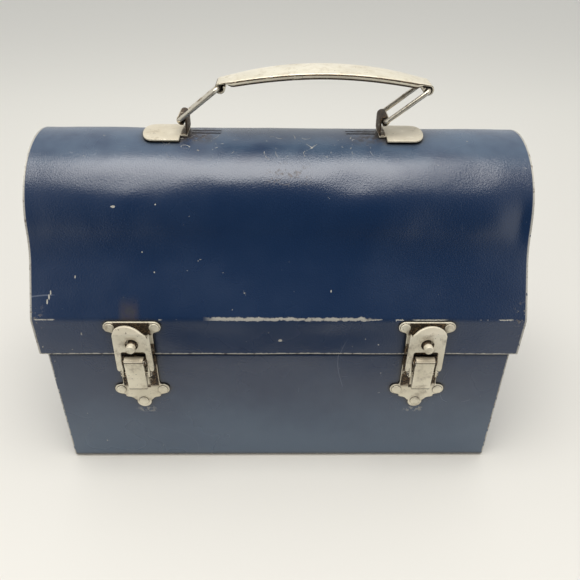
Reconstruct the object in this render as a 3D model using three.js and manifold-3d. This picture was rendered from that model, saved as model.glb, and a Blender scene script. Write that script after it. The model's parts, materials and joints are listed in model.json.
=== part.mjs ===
// Steel workman's lunch box with a domed lid, a folding wire-link handle and two draw latches.
// Millimetres, +Z up. The origin is the centre of the underside; the front faces -Y, +X is to the right.
import * as THREE from 'three';
import { mergeVertices } from 'three/addons/utils/BufferGeometryUtils.js';
import Module from 'manifold-3d';

// ---- Driving dimensions ----
const SHEET = 0.8; // painted sheet steel
const PLATE = 1.0; // nickel-plated hardware sheet
const SEAM_GAP = 0.3; // between folded sheets
const REST_GAP = 0.1; // between flat pieces that lie on each other
const RUN_GAP = 0.3; // around pins and between knuckles

const BODY_WIDTH = 246;
const BODY_DEPTH = 125;
const BODY_CORNER = 3;
const LID_LINE = 81; // height of the lid's lower edge
const LIP_TOP = 89; // the body's inner lip stands up inside the lid
const LIP_INSET = 0.6;
const END_RECESS = 3; // the body's ends are sunk by this much

const LID_WIDTH = 254;
const LID_DEPTH = 126.6;
const RIM_TOP = 103.5; // crease between the upright rim and the sloping panel
const PANEL_SLOPE = 0.62; // run over rise
const FILLET_RADIUS = 45;
const DOME_RADIUS = 43.4;
const DOME_CENTRE = 136.2;
const LID_RECESS = 2.6;

const LATCH_X = 76;
const HANDLE_X = 1.5; // the handle sits a little right of the middle
const HANDLE_EYE_X = 52; // from the handle's middle
const HANDLE_EYE_Z = 188;
const LINK_LENGTH = 25.8;
const LINK_LEAN = THREE.MathUtils.degToRad(52); // the handle leans this far from upright
const LINK_HALF_WIDTH = 8.25;
const LINK_BEND = 2.5;
const WIRE = 1.2; // radius of the handle's and the bail's wire
const EYE_OUTER = 2.6;
const EYE_INNER = 1.5;
const EYE_HALF_WIDTH = 6.7;
const GRIP_ARCH = 6.3;
const GRIP_HALF_WIDTH = 11;
const GRIP_EDGE = 2.8; // depth of the grip's turned-down edges
const VENT_X = 40.5; // from the handle's middle
const VENT_Y = [-1.4, 2.4];
const VENT_HALF_LENGTH = 7.7;
const VENT_HALF_WIDTH = 0.65;

const HINGE_Y = 65.8;
const HINGE_Z = 80.6;
const HINGE_HALF_LENGTH = 110;
const KNUCKLES = 9;
const KNUCKLE_RADIUS = 2.2;
const HINGE_PIN = 1.1;

// Latch, as distances out from the body's front face and heights
const LEVER_PIVOT = [6.8, 80.2];
const HASP_PIVOT = [6, 72.2];
const PIVOT_PIN = 1.05;
const LEVER_HALF_WIDTH = 5;
const LEVER_WALL = 0.9;
const BASE_EAR = [5.3, 6.1]; // nearest and farthest from the latch's middle
const HASP_EAR = [6.4, 7.4];
const STUD_Z = 91.7;
const STUD_RADIUS = 2.3;
const STUD_END = 11.2;
const KEEPER_RIVETS = [[-11.4, 99.4], [11.4, 99.4]];
const BASE_RIVETS = [[-11.4, 56], [11.4, 56], [0, 47.6]];

const BAIL_X = 42;
const BAIL_SEAT = 20; // distance up the sloping panel from the crease to the bail's clips
const BAIL_LOW = 99;
const BAIL_STUB = 11; // the bail's ends reach this far sideways through their clips
const CLIP_FROM_ARM = 7.5;
const CLIP_HALF_WIDTH = 2.5;

// ---- Materials ----
const paint = new THREE.MeshStandardMaterial({ color: 0x16294b, roughness: 0.45, metalness: 0.1 });
const nickel = new THREE.MeshStandardMaterial({ color: 0xb9ae93, roughness: 0.35, metalness: 0.9 });
const wireSteel = new THREE.MeshStandardMaterial({ color: 0x8d8676, roughness: 0.4, metalness: 0.9 });

// ---- Solids ----
const wasm = await Module();
wasm.setup();

function solid(geometry) {
  const bare = geometry.clone();
  bare.deleteAttribute('normal');
  bare.deleteAttribute('uv');
  const merged = mergeVertices(bare, 1e-5);
  const index = merged.index.array;
  const triangles = [];
  for (let i = 0; i < index.length; i += 3) {
    const [a, b, c] = [index[i], index[i + 1], index[i + 2]];
    if (a !== b && b !== c && c !== a) triangles.push(a, b, c);
  }
  return new wasm.Manifold(
    new wasm.Mesh({
      numProp: 3,
      vertProperties: new Float32Array(merged.attributes.position.array),
      triVerts: new Uint32Array(triangles),
    })
  );
}

function geometryOf(manifold) {
  const mesh = manifold.getMesh();
  const geometry = new THREE.BufferGeometry();
  geometry.setAttribute('position', new THREE.BufferAttribute(mesh.vertProperties, 3));
  geometry.setIndex(new THREE.BufferAttribute(mesh.triVerts, 1));
  geometry.computeVertexNormals();
  return geometry;
}

const joined = (...solids) => solids.reduce((all, next) => all.add(next));
const cut = (base, ...tools) => tools.reduce((rest, tool) => rest.subtract(tool), base);

// ---- Outlines ----
function arc(x, y, radius, from, to, steps) {
  const points = [];
  for (let i = 0; i <= steps; i++) {
    const angle = THREE.MathUtils.degToRad(from + ((to - from) * i) / steps);
    points.push([x + radius * Math.cos(angle), y + radius * Math.sin(angle)]);
  }
  return points;
}

// A half outline, from the middle at the top to the middle at the bottom, completed by its mirror image
function mirrored(half) {
  const other = half.map(([x, z]) => [-x, z]).reverse();
  return [...half, ...other].filter(([x, z], i, all) => {
    const [px, pz] = all[(i + all.length - 1) % all.length];
    return Math.hypot(x - px, z - pz) > 1e-6;
  });
}

// The line moved sideways by a distance, to its left when positive, with mitred corners
function offset(line, distance) {
  return line.map((point, i) => {
    const before = line[Math.max(i - 1, 0)];
    const after = line[Math.min(i + 1, line.length - 1)];
    const normals = [];
    if (i > 0) normals.push(leftOf(before, point));
    if (i < line.length - 1) normals.push(leftOf(point, after));
    const sum = normals.reduce(([a, b], [c, d]) => [a + c, b + d]);
    const length = Math.hypot(...sum);
    const bisector = [sum[0] / length, sum[1] / length];
    const mitre = bisector[0] * normals[0][0] + bisector[1] * normals[0][1];
    return [point[0] + (bisector[0] * distance) / mitre, point[1] + (bisector[1] * distance) / mitre];
  });
}

function leftOf(a, b) {
  const length = Math.hypot(b[0] - a[0], b[1] - a[1]);
  return [-(b[1] - a[1]) / length, (b[0] - a[0]) / length];
}

const strip = (line, inner, outer) => [...offset(line, outer), ...offset(line, inner).reverse()];

// ---- Prisms: an outline pushed along an axis ----
function prism(outline, depth) {
  const shape = new THREE.Shape(outline.map(([x, y]) => new THREE.Vector2(x, y)));
  return new THREE.ExtrudeGeometry(shape, { depth, bevelEnabled: false });
}

const axis = (x, y, z) => new THREE.Vector3(x, y, z);

// Outline in Y and Z, from x0 to x1
function prismX(outline, x0, x1) {
  const turn = new THREE.Matrix4().makeBasis(axis(0, 1, 0), axis(0, 0, 1), axis(1, 0, 0));
  return solid(prism(outline, x1 - x0).applyMatrix4(turn).translate(x0, 0, 0));
}

// Outline in X and Z, from y0 to y1
function prismY(outline, y0, y1) {
  const turn = new THREE.Matrix4().makeBasis(axis(1, 0, 0), axis(0, 0, 1), axis(0, -1, 0));
  return solid(prism(outline, y1 - y0).applyMatrix4(turn).translate(0, y1, 0));
}

// Outline in X and Y, from z0 to z1
const prismZ = (outline, z0, z1) => solid(prism(outline, z1 - z0).translate(0, 0, z0));

// A turned piece: profile of [radius, height], its axis along X, or along -Y when it points out of the front
function turned(profile, pointing, sides = 16) {
  const points = profile.map(([radius, height]) => new THREE.Vector2(radius, height));
  const geometry = new THREE.LatheGeometry(points, sides);
  if (pointing === 'front') geometry.rotateX(Math.PI);
  else geometry.rotateZ(-Math.PI / 2);
  return geometry;
}

function rodX(radius, x0, x1, y, z, sides = 20) {
  const profile = [[0, x0], [radius, x0], [radius, x1], [0, x1]];
  return solid(turned(profile, 'x', sides).translate(0, y, z));
}

function rodY(radius, y0, y1, x, z, sides = 20) {
  const profile = [[0, -y1], [radius, -y1], [radius, -y0], [0, -y0]];
  return solid(turned(profile, 'front', sides).translate(x, 0, z));
}

// ---- Profiles of the box, in Y and Z, with the outside on the left of the line ----
function panelFillet() {
  const length = Math.hypot(PANEL_SLOPE, 1);
  const along = [PANEL_SLOPE / length, 1 / length];
  const outward = [-along[1], along[0]];
  const start = [-LID_DEPTH / 2, RIM_TOP];
  const reach = DOME_RADIUS + FILLET_RADIUS;
  const ax = start[0] + FILLET_RADIUS * outward[0];
  const az = start[1] + FILLET_RADIUS * outward[1] - DOME_CENTRE;
  const b = ax * along[0] + az * along[1];
  const run = -b - Math.sqrt(b * b - (ax * ax + az * az - reach * reach));
  const centre = [ax + run * along[0], az + run * along[1] + DOME_CENTRE];
  const degrees = THREE.MathUtils.radToDeg;
  const domeAngle = degrees(Math.atan2(centre[1] - DOME_CENTRE, centre[0]));
  return { along, outward, start, centre, from: degrees(Math.atan2(-outward[1], -outward[0])), domeAngle };
}

const fillet = panelFillet();

function lidLine() {
  const front = [[-LID_DEPTH / 2, LID_LINE]];
  front.push([-LID_DEPTH / 2, RIM_TOP - 1], [-LID_DEPTH / 2 + 0.12, RIM_TOP - 0.4]);
  front.push([-LID_DEPTH / 2 + PANEL_SLOPE, RIM_TOP + 1]);
  front.push(...arc(fillet.centre[0], fillet.centre[1], FILLET_RADIUS, fillet.from, fillet.domeAngle - 180, 5));
  const dome = arc(0, DOME_CENTRE, DOME_RADIUS, fillet.domeAngle, 180 - fillet.domeAngle, 22).slice(1, -1);
  const back = front.map(([y, z]) => [-y, z]).reverse();
  return [...front, ...dome, ...back];
}

function bodyLine() {
  const half = BODY_DEPTH / 2;
  const lip = half - LIP_INSET;
  const corner = half - BODY_CORNER;
  return [
    [lip, LIP_TOP],
    [lip, LID_LINE],
    [half, LID_LINE - 1.2],
    ...arc(corner, BODY_CORNER, BODY_CORNER, 0, -90, 4),
    ...arc(-corner, BODY_CORNER, BODY_CORNER, -90, -180, 4),
    [-half, LID_LINE - 1.2],
    [-lip, LID_LINE],
    [-lip, LIP_TOP],
  ];
}

// A sunk end: a plate inside the wrapped sheet with a flange running out to the sheet's edge
function sunkEnd(line, side, edge, recess) {
  const inside = -(SHEET + SEAM_GAP);
  const between = (near, far) => (side > 0 ? [near, far] : [-far, -near]);
  const plate = prismX(offset(line, inside), ...between(edge - recess - SHEET, edge - recess));
  const flange = prismX(strip(line, inside - SHEET, inside), ...between(edge - recess - SHEET, edge));
  return geometryOf(joined(plate, flange));
}

// ---- Rivets and studs ----
const RIVET_SHANK = 1.1;
const RIVET_HOLE = RIVET_SHANK + 0.2;
const STUD_SHANK = 1.5;
const STUD_HOLE = STUD_SHANK + 0.2;

// A domed rivet pointing out of the front; `head` is the distance of the head's underside from the body's front
function rivet(x, z, head, wall) {
  const grip = head - wall + SHEET + REST_GAP;
  const tail = -grip;
  const profile = [[0, tail - 0.8], [2.0, tail - 0.8], [2.0, tail], [RIVET_SHANK, tail]];
  profile.push([RIVET_SHANK, 0], [2.6, 0], [2.6, 0.35], [2.2, 0.65], [0, 0.8]);
  return turned(profile, 'front', 10).translate(x, -BODY_DEPTH / 2 - head, z);
}

function stud(x) {
  const wall = (LID_DEPTH - BODY_DEPTH) / 2;
  const foot = wall + PLATE + 2 * REST_GAP;
  const tail = -(foot - wall + SHEET + REST_GAP);
  const end = STUD_END - foot;
  const profile = [[0, tail - 0.9], [2.4, tail - 0.9], [2.4, tail], [STUD_SHANK, tail], [STUD_SHANK, 0], [STUD_RADIUS, 0]];
  profile.push([STUD_RADIUS, end - 0.5], [STUD_RADIUS - 0.5, end], [0, end]);
  return turned(profile, 'front', 14).translate(x, -BODY_DEPTH / 2 - foot, STUD_Z);
}

// A hole's cutter, through everything at the front
const throughFront = (radius, x, z) => rodY(radius, -BODY_DEPTH / 2 - 15, -BODY_DEPTH / 2 + 15, x, z, 16);

// ---- Box and lid ----
function bodyShell() {
  const wrap = prismX(strip(bodyLine(), -SHEET, 0), -BODY_WIDTH / 2, BODY_WIDTH / 2);
  const holes = [-LATCH_X, LATCH_X].flatMap((x) =>
    BASE_RIVETS.map(([dx, z]) => throughFront(RIVET_HOLE, x + dx, z))
  );
  return geometryOf(cut(wrap, ...holes));
}

function ventSlit(x, y) {
  const reach = VENT_HALF_LENGTH - VENT_HALF_WIDTH;
  const outline = [...arc(x + reach, y, VENT_HALF_WIDTH, -90, 90, 4), ...arc(x - reach, y, VENT_HALF_WIDTH, 90, 270, 4)];
  return prismZ(outline, DOME_CENTRE, DOME_CENTRE + DOME_RADIUS + 5);
}

function lidShell() {
  const wrap = prismX(strip(lidLine(), -SHEET, 0), -LID_WIDTH / 2, LID_WIDTH / 2);
  const holes = [-LATCH_X, LATCH_X].flatMap((x) => [
    ...KEEPER_RIVETS.map(([dx, z]) => throughFront(RIVET_HOLE, x + dx, z)),
    throughFront(STUD_HOLE, x, STUD_Z),
  ]);
  const slits = [-1, 1].flatMap((side) => VENT_Y.map((y) => ventSlit(HANDLE_X + side * VENT_X, y)));
  return geometryOf(cut(wrap, ...holes, ...slits));
}

// ---- Rear hinge ----
function knuckle(i) {
  const pitch = (2 * HINGE_HALF_LENGTH) / KNUCKLES;
  const x0 = -HINGE_HALF_LENGTH + i * pitch;
  return [x0 + RUN_GAP / 2, x0 + pitch - RUN_GAP / 2];
}

function hingeLeaf(first, leafPlate) {
  let leaf = leafPlate;
  for (let i = first; i < KNUCKLES; i += 2) {
    leaf = leaf.add(rodX(KNUCKLE_RADIUS, ...knuckle(i), HINGE_Y, HINGE_Z, 12));
  }
  for (let i = 1 - first; i < KNUCKLES; i += 2) {
    const [x0, x1] = knuckle(i);
    const reach = KNUCKLE_RADIUS + RUN_GAP;
    const room = [
      [HINGE_Y - reach, HINGE_Z - reach],
      [HINGE_Y + reach, HINGE_Z - reach],
      [HINGE_Y + reach, HINGE_Z + reach],
      [HINGE_Y - reach, HINGE_Z + reach],
    ];
    leaf = leaf.subtract(prismX(room, x0 - RUN_GAP, x1 + RUN_GAP));
  }
  return leaf.subtract(rodX(HINGE_PIN + RUN_GAP, -LID_WIDTH, LID_WIDTH, HINGE_Y, HINGE_Z, 12));
}

function bodyHingeLeaf() {
  const near = BODY_DEPTH / 2 + REST_GAP;
  const knuckleWall = HINGE_Y - KNUCKLE_RADIUS;
  const outline = [[near, 66], [near + PLATE, 66], [near + PLATE, 77.5], [knuckleWall + 0.9, 78.4]];
  outline.push([knuckleWall + 0.9, HINGE_Z], [knuckleWall + 0.1, HINGE_Z], [knuckleWall + 0.1, 79], [near, 78]);
  return geometryOf(hingeLeaf(0, prismX(outline, -HINGE_HALF_LENGTH, HINGE_HALF_LENGTH)));
}

function lidHingeLeaf() {
  const near = LID_DEPTH / 2 + REST_GAP;
  const outline = [[near, 96], [near + PLATE, 96], [near + PLATE, HINGE_Z + 1], [HINGE_Y - 1.6, HINGE_Z]];
  outline.push([HINGE_Y - KNUCKLE_RADIUS + 0.1, HINGE_Z + 0.4], [near, 82]);
  return geometryOf(hingeLeaf(1, prismX(outline, -HINGE_HALF_LENGTH, HINGE_HALF_LENGTH)));
}

function hingePin() {
  const end = HINGE_HALF_LENGTH + 1.4;
  const profile = [[0, -end], [1.8, -end], [1.8, -end + 1], [HINGE_PIN, -end + 1]];
  profile.push([HINGE_PIN, end - 1], [1.8, end - 1], [1.8, end], [0, end]);
  return turned(profile, 'x', 16).translate(0, HINGE_Y, HINGE_Z);
}

// ---- Latches, built about x = 0 ----
const outFromFront = (distance) => -BODY_DEPTH / 2 - distance;
const sideView = (outline) => outline.map(([out, z]) => [outFromFront(out), z]);
const onBothSides = (outline, [near, far]) => [prismX(outline, near, far), prismX(outline, -far, -near)];
const pinHole = ([out, z]) => rodX(PIVOT_PIN + RUN_GAP, -10, 10, outFromFront(out), z, 16);

function keeperPlate() {
  const near = (LID_DEPTH - BODY_DEPTH) / 2 + REST_GAP;
  const half = [[0, 102.7], ...arc(11.4, 99.4, 3.3, 90, -60, 10), [10, 95], [10, 81.6], [0, 81.6]];
  const plate = prismY(mirrored(half), outFromFront(near + PLATE), outFromFront(near));
  const holes = KEEPER_RIVETS.map(([x, z]) => throughFront(RIVET_HOLE, x, z));
  return cut(plate, ...holes, throughFront(STUD_HOLE, 0, STUD_Z));
}

function basePlate() {
  const half = [[0, 79.6], [9.85, 79.6], [9.85, 60.2], ...arc(11.6, 56, 3.3, 115, -70, 10), [9.6, 51.8]];
  half.push([9.4, 50.6], [6.6, 50], [4.7, 48.6], ...arc(0, 46.8, 3.9, 10, -90, 5));
  const plate = prismY(mirrored(half), outFromFront(REST_GAP + PLATE), outFromFront(REST_GAP));
  const [out, z] = LEVER_PIVOT;
  const ear = sideView([[0.6, 68], [0.6, 79.4], [5.6, 81.9], ...arc(out, z, 2, 115, -45, 8), [4.4, 75], [3.2, 68]]);
  const ears = onBothSides(ear, BASE_EAR);
  const holes = BASE_RIVETS.map(([x, height]) => throughFront(RIVET_HOLE, x, height));
  return cut(joined(plate, ...ears), ...holes, pinHole(LEVER_PIVOT));
}

function lever() {
  const face = [[9.4, 82.6], [8, 62.5]];
  const back = [[6.4, 63], [5, 65.6], [3.9, 71], [4.2, 78], [4.5, 81.8], [5.4, 83.1], [7.2, 83.5], [8.9, 83.2]];
  const room = [[8.5, 82.2], [7.1, 82.6], [5.8, 82.2], [5.4, 81.2], [0, 81.2], [0, 60], [6.9, 60]];
  const channel = prismX(sideView([...face, ...back]), -LEVER_HALF_WIDTH, LEVER_HALF_WIDTH);
  const inside = LEVER_HALF_WIDTH - LEVER_WALL;
  return cut(channel, prismX(sideView(room), -inside, inside), pinHole(LEVER_PIVOT), pinHole(HASP_PIVOT));
}

function leverPin() {
  return rodX(PIVOT_PIN, -BASE_EAR[1], BASE_EAR[1], outFromFront(LEVER_PIVOT[0]), LEVER_PIVOT[1], 16);
}

const HASP_FRONT = 7;
const HASP_SHEET = 1.2;
const HASP_TOP = 101.9;
const HASP_TIP_RADIUS = 14.4;
const HASP_BEND = 98.4; // above this height the tip leans back towards the lid
const HASP_LEAN = 0.7;
const HASP_EYE = { radius: 3.3, z: 92.1 };

function hasp() {
  const [back, front] = [outFromFront(HASP_FRONT - HASP_SHEET), outFromFront(HASP_FRONT)];
  const below = mirrored([[0, HASP_BEND], [8.9, HASP_BEND], [9.4, 97.4], [9.7, 76], [9, 74], [0, 74]]);
  const lap = 0.1; // the tip starts this far inside the part below it
  const crown = arc(0, HASP_TOP - HASP_TIP_RADIUS, HASP_TIP_RADIUS, 90, 58, 6);
  const tip = mirrored([...crown, [8.9, HASP_BEND - lap], [0, HASP_BEND - lap]]);
  const leaning = geometryOf(prismY(tip, front, back))
    .translate(0, 0, lap - HASP_BEND)
    .applyMatrix4(new THREE.Matrix4().makeShear(0, 0, 0, 0, 0, HASP_LEAN))
    .translate(0, 0, HASP_BEND - lap);
  const slot = mirrored([[0, 87], [5.4, 87], [6.1, 86.7], [6.4, 86], [6.4, 60], [0, 60]]);
  const eye = rodY(HASP_EYE.radius, front - 1, back + 1, 0, HASP_EYE.z, 20);
  const plate = cut(joined(prismY(below, front, back), solid(leaning)), prismY(slot, front - 1, back + 1), eye);
  const [out, z] = HASP_PIVOT;
  const ear = sideView([[5.8, 78], ...arc(out, z, 2.2, 190, 350, 8), [7, 78]]);
  return cut(joined(plate, ...onBothSides(ear, HASP_EAR)), pinHole(HASP_PIVOT));
}

function haspPin() {
  const end = HASP_EAR[1] + 0.9;
  const head = PIVOT_PIN + 0.55;
  const profile = [[0, -end], [head, -end], [head, -end + 0.6], [PIVOT_PIN, -end + 0.6]];
  profile.push([PIVOT_PIN, end - 0.6], [head, end - 0.6], [head, end], [0, end]);
  return turned(profile, 'x', 16).translate(0, outFromFront(HASP_PIVOT[0]), HASP_PIVOT[1]);
}

// ---- Handle ----
const ring = (x, z, halfWidth) => {
  const outer = rodY(EYE_OUTER, -halfWidth, halfWidth, x, z, 20);
  return cut(outer, rodY(EYE_INNER, -halfWidth - 1, halfWidth + 1, x, z, 20));
};

// A rounded plate outboard of the handle, a tongue from its inner edge and the tongue's end curled round the wire
function bracket(side) {
  const foot = DOME_CENTRE + DOME_RADIUS + REST_GAP;
  const tongue = HANDLE_EYE_X - EYE_OUTER;
  const shoulder = HANDLE_EYE_X + 1.4;
  const [halfDepth, roundStart, roundLength] = [12, 64.3, 9];
  const half = [[tongue, -EYE_HALF_WIDTH], [shoulder, -EYE_HALF_WIDTH], [shoulder, -halfDepth]];
  for (const [across, depth] of arc(0, 0, 1, -90, 0, 7)) {
    half.push([roundStart + roundLength * Math.sqrt(across), halfDepth * depth]);
  }
  const outline = [...half, ...half.slice(0, -1).map(([x, y]) => [x, -y]).reverse()];
  const plate = prismZ(outline.map(([x, y]) => [side * x, y]), foot, foot + PLATE);
  const [x0, x1] = side > 0 ? [tongue, tongue + PLATE] : [-tongue - PLATE, -tongue];
  const [low, high] = [foot, HANDLE_EYE_Z];
  const rise = [[-EYE_HALF_WIDTH, low], [EYE_HALF_WIDTH, low], [EYE_HALF_WIDTH, high], [-EYE_HALF_WIDTH, high]];
  const eye = ring(side * HANDLE_EYE_X, HANDLE_EYE_Z, EYE_HALF_WIDTH);
  return geometryOf(joined(plate, prismX(rise, x0, x1), eye));
}

// A closed wire loop in the plane of Y and the link's direction, centred on the origin
function link() {
  const [a, b] = [LINK_LENGTH / 2, LINK_HALF_WIDTH];
  const loop = new THREE.CurvePath();
  const corners = [[a, b], [-a, b], [-a, -b], [a, -b]];
  const at = (u, y) => axis(u * Math.sin(LINK_LEAN), y, u * Math.cos(LINK_LEAN));
  const stops = corners.map(([u, y], i) => {
    const [nu, ny] = corners[(i + 1) % 4];
    const [pu, py] = corners[(i + 3) % 4];
    const toward = (tu, ty) => at(u + Math.sign(tu - u) * LINK_BEND, y + Math.sign(ty - y) * LINK_BEND);
    return { arrive: toward(pu, py), corner: at(u, y), leave: toward(nu, ny) };
  });
  stops.forEach(({ arrive, corner, leave }, i) => {
    loop.add(new THREE.QuadraticBezierCurve3(arrive, corner, leave));
    loop.add(new THREE.LineCurve3(leave, stops[(i + 1) % 4].arrive));
  });
  return geometryOf(solid(new THREE.TubeGeometry(loop, 56, WIRE, 8, true)));
}

// The grip's section: a sheet with turned-down edges, which narrows and loses its edges towards the ends
function gripSection(x) {
  const t = Math.abs(x) / HANDLE_EYE_X;
  const top = EYE_OUTER + GRIP_ARCH * (1 - t * t);
  const half = EYE_HALF_WIDTH + (GRIP_HALF_WIDTH - EYE_HALF_WIDTH) * (1 - t ** 3);
  const edge = (GRIP_EDGE - PLATE) * THREE.MathUtils.smoothstep(HANDLE_EYE_X - Math.abs(x), 6, 12);
  const under = top - PLATE;
  const sliver = 0.05; // keeps neighbouring corners apart where the edges end
  const right = [[half - 1.2, top], [half, top - 0.9], [half, under - edge - sliver], [half - PLATE, under - edge - sliver]];
  right.push([half - PLATE - sliver, under - edge / 3], [half - PLATE - 0.6, under]);
  const left = right.map(([y, z]) => [-y, z]).reverse();
  return [...right, ...left];
}

function gripStrap() {
  const stations = 20;
  const sections = [];
  for (let i = 0; i <= stations; i++) {
    const x = HANDLE_EYE_X * (-1 + (2 * i) / stations);
    sections.push(gripSection(x).map(([y, z]) => [x, y, z]));
  }
  const count = sections[0].length;
  const positions = sections.flat(2);
  const index = [];
  for (let i = 0; i < stations; i++) {
    for (let k = 0; k < count; k++) {
      const [a, b] = [i * count + k, i * count + ((k + 1) % count)];
      index.push(a, a + count, b, b, a + count, b + count);
    }
  }
  const flat = gripSection(HANDLE_EYE_X).map(([y, z]) => new THREE.Vector2(y, z));
  const outline = Math.sign(THREE.ShapeUtils.area(flat));
  const last = stations * count;
  for (const face of THREE.ShapeUtils.triangulateShape(flat, [])) {
    const same = Math.sign(THREE.ShapeUtils.area(face.map((i) => flat[i]))) === outline;
    const [a, b, c] = same ? face : [...face].reverse();
    index.push(a, b, c, last + a, last + c, last + b);
  }
  const geometry = new THREE.BufferGeometry();
  geometry.setAttribute('position', new THREE.Float32BufferAttribute(positions, 3));
  geometry.setIndex(index);
  return geometry;
}

function grip() {
  const strap = solid(gripStrap());
  const eyes = [-1, 1].map((side) => ring(side * HANDLE_EYE_X, 0, EYE_HALF_WIDTH));
  const clearance = [-1, 1].map((side) => rodY(EYE_INNER, -20, 20, side * HANDLE_EYE_X, 0, 20));
  return geometryOf(cut(joined(strap, ...eyes), ...clearance));
}

// ---- Bottle bail inside the lid ----
function panelPoint(run, depth) {
  const { start, along, outward } = fillet;
  return [start[0] + run * along[0] - depth * outward[0], start[1] + run * along[1] - depth * outward[1]];
}

const CLIP_FOOT = SHEET + REST_GAP;
const BAIL_SEAT_POINT = panelPoint(BAIL_SEAT, CLIP_FOOT + EYE_OUTER);

// A clip on the inside of the sloping panel: a foot and a ring, built for the front and mirrored for the back
function bailClip(x, facing, open) {
  const [y, z] = BAIL_SEAT_POINT;
  const [low, high] = [BAIL_SEAT - 6, BAIL_SEAT + 6];
  const foot = [panelPoint(low, CLIP_FOOT), panelPoint(high, CLIP_FOOT)];
  foot.push(panelPoint(high, CLIP_FOOT + PLATE), panelPoint(low, CLIP_FOOT + PLATE));
  const flip = (outline) => outline.map(([py, pz]) => [facing * py, pz]);
  const half = CLIP_HALF_WIDTH;
  const outer = prismX(flip(arc(y, z, EYE_OUTER, 0, 345, 23)), x - half, x + half);
  const inner = prismX(flip(arc(y, z, EYE_INNER, 0, 340, 17)), x - half - 1, x + half + 1);
  const clip = cut(joined(prismX(flip(foot), x - half, x + half), outer), inner);
  const mouth = [[y - EYE_INNER, z], [y - EYE_INNER, z - 6], [y + 3 * EYE_INNER, z - 6], [y + EYE_INNER, z]];
  return geometryOf(open ? cut(clip, prismX(flip(mouth), x - half - 1, x + half + 1)) : clip);
}

function bail() {
  const [seatY, seatZ] = BAIL_SEAT_POINT;
  const sag = seatZ - BAIL_LOW;
  const radius = (seatY * seatY + sag * sag) / (2 * sag);
  const reach = THREE.MathUtils.radToDeg(Math.asin(-seatY / radius)) - 3;
  const arm = arc(0, BAIL_LOW + radius, radius, -90 + reach, -90 - reach, 14);
  const side = arm.map(([y, z]) => axis(-BAIL_X, y, z));
  const other = arm.map(([y, z]) => axis(BAIL_X, y, z)).reverse();
  const stub = [BAIL_STUB, BAIL_STUB - 4, BAIL_STUB - 8].map((reachOut) => axis(-BAIL_X - reachOut, -seatY, seatZ));
  const bar = [];
  for (let i = 0; i <= 12; i++) bar.push(axis(-BAIL_X + 3 + ((2 * BAIL_X - 6) * i) / 12, seatY, seatZ));
  const otherStub = stub.map((p) => axis(-p.x, p.y, p.z)).reverse();
  const route = new THREE.CatmullRomCurve3([...stub, ...side, ...bar, ...other, ...otherStub], false, 'centripetal');
  const circle = new THREE.Shape(arc(0, 0, WIRE, 0, 300, 5).map(([x, y]) => new THREE.Vector2(x, y)));
  return geometryOf(solid(new THREE.ExtrudeGeometry(circle, { steps: 66, extrudePath: route })));
}

// ---- Assembly ----
const lunchBox = new THREE.Group();

function place(name, geometry, material, parent = lunchBox) {
  const mesh = new THREE.Mesh(geometry, material);
  mesh.name = name;
  parent.add(mesh);
  return mesh;
}

place('body_shell', bodyShell(), paint);
place('lid_shell', lidShell(), paint);
for (const [side, word] of [[-1, 'left'], [1, 'right']]) {
  place(`body_end_${word}`, sunkEnd(bodyLine(), side, BODY_WIDTH / 2, END_RECESS), paint);
  place(`lid_end_${word}`, sunkEnd(lidLine(), side, LID_WIDTH / 2, LID_RECESS), paint);
}
place('hinge_leaf_body', bodyHingeLeaf(), paint);
place('hinge_leaf_lid', lidHingeLeaf(), paint);
place('hinge_pin', hingePin(), wireSteel);

const lidFace = (LID_DEPTH - BODY_DEPTH) / 2;
for (const [side, word] of [[-1, 'left'], [1, 'right']]) {
  const latch = new THREE.Group();
  latch.position.x = side * LATCH_X;
  lunchBox.add(latch);
  place(`keeper_plate_${word}`, geometryOf(keeperPlate()), nickel, latch);
  place(`keeper_stud_${word}`, stud(0), nickel, latch);
  KEEPER_RIVETS.forEach(([x, z], i) => {
    const head = lidFace + PLATE + 2 * REST_GAP;
    place(`keeper_rivet_${word}_${i + 1}`, rivet(x, z, head, lidFace), nickel, latch);
  });
  place(`latch_base_${word}`, geometryOf(basePlate()), nickel, latch);
  BASE_RIVETS.forEach(([x, z], i) => {
    place(`base_rivet_${word}_${i + 1}`, rivet(x, z, PLATE + 2 * REST_GAP, 0), nickel, latch);
  });
  place(`latch_lever_${word}`, geometryOf(lever()), nickel, latch);
  place(`lever_pin_${word}`, geometryOf(leverPin()), wireSteel, latch);
  place(`latch_hasp_${word}`, geometryOf(hasp()), nickel, latch);
  place(`hasp_pin_${word}`, haspPin(), wireSteel, latch);
}

const handle = new THREE.Group();
handle.position.x = HANDLE_X;
lunchBox.add(handle);
const lean = [LINK_LENGTH * Math.sin(LINK_LEAN), LINK_LENGTH * Math.cos(LINK_LEAN)];
for (const [side, word] of [[-1, 'left'], [1, 'right']]) {
  place(`handle_bracket_${word}`, bracket(side), nickel, handle);
  const wire = place(`handle_link_${word}`, link(), wireSteel, handle);
  wire.position.set(side * HANDLE_EYE_X + lean[0] / 2, 0, HANDLE_EYE_Z + lean[1] / 2);
}
const gripMesh = place('handle_grip', grip(), nickel, handle);
gripMesh.position.set(lean[0], 0, HANDLE_EYE_Z + lean[1]);

place('bottle_bail', bail(), wireSteel);
place('bail_clip_left', bailClip(-BAIL_X - CLIP_FROM_ARM, -1, false), wireSteel);
place('bail_clip_right', bailClip(BAIL_X + CLIP_FROM_ARM, -1, false), wireSteel);
place('bail_catch', bailClip(0, 1, true), wireSteel);

export default lunchBox;
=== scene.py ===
"""Looks of a steel workman's lunch box with a domed lid. Lengths are in millimetres until a mesh is made."""
import json
import math

import bmesh
import bpy
from mathutils import Matrix, Vector, noise
from mathutils.geometry import tessellate_polygon


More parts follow.
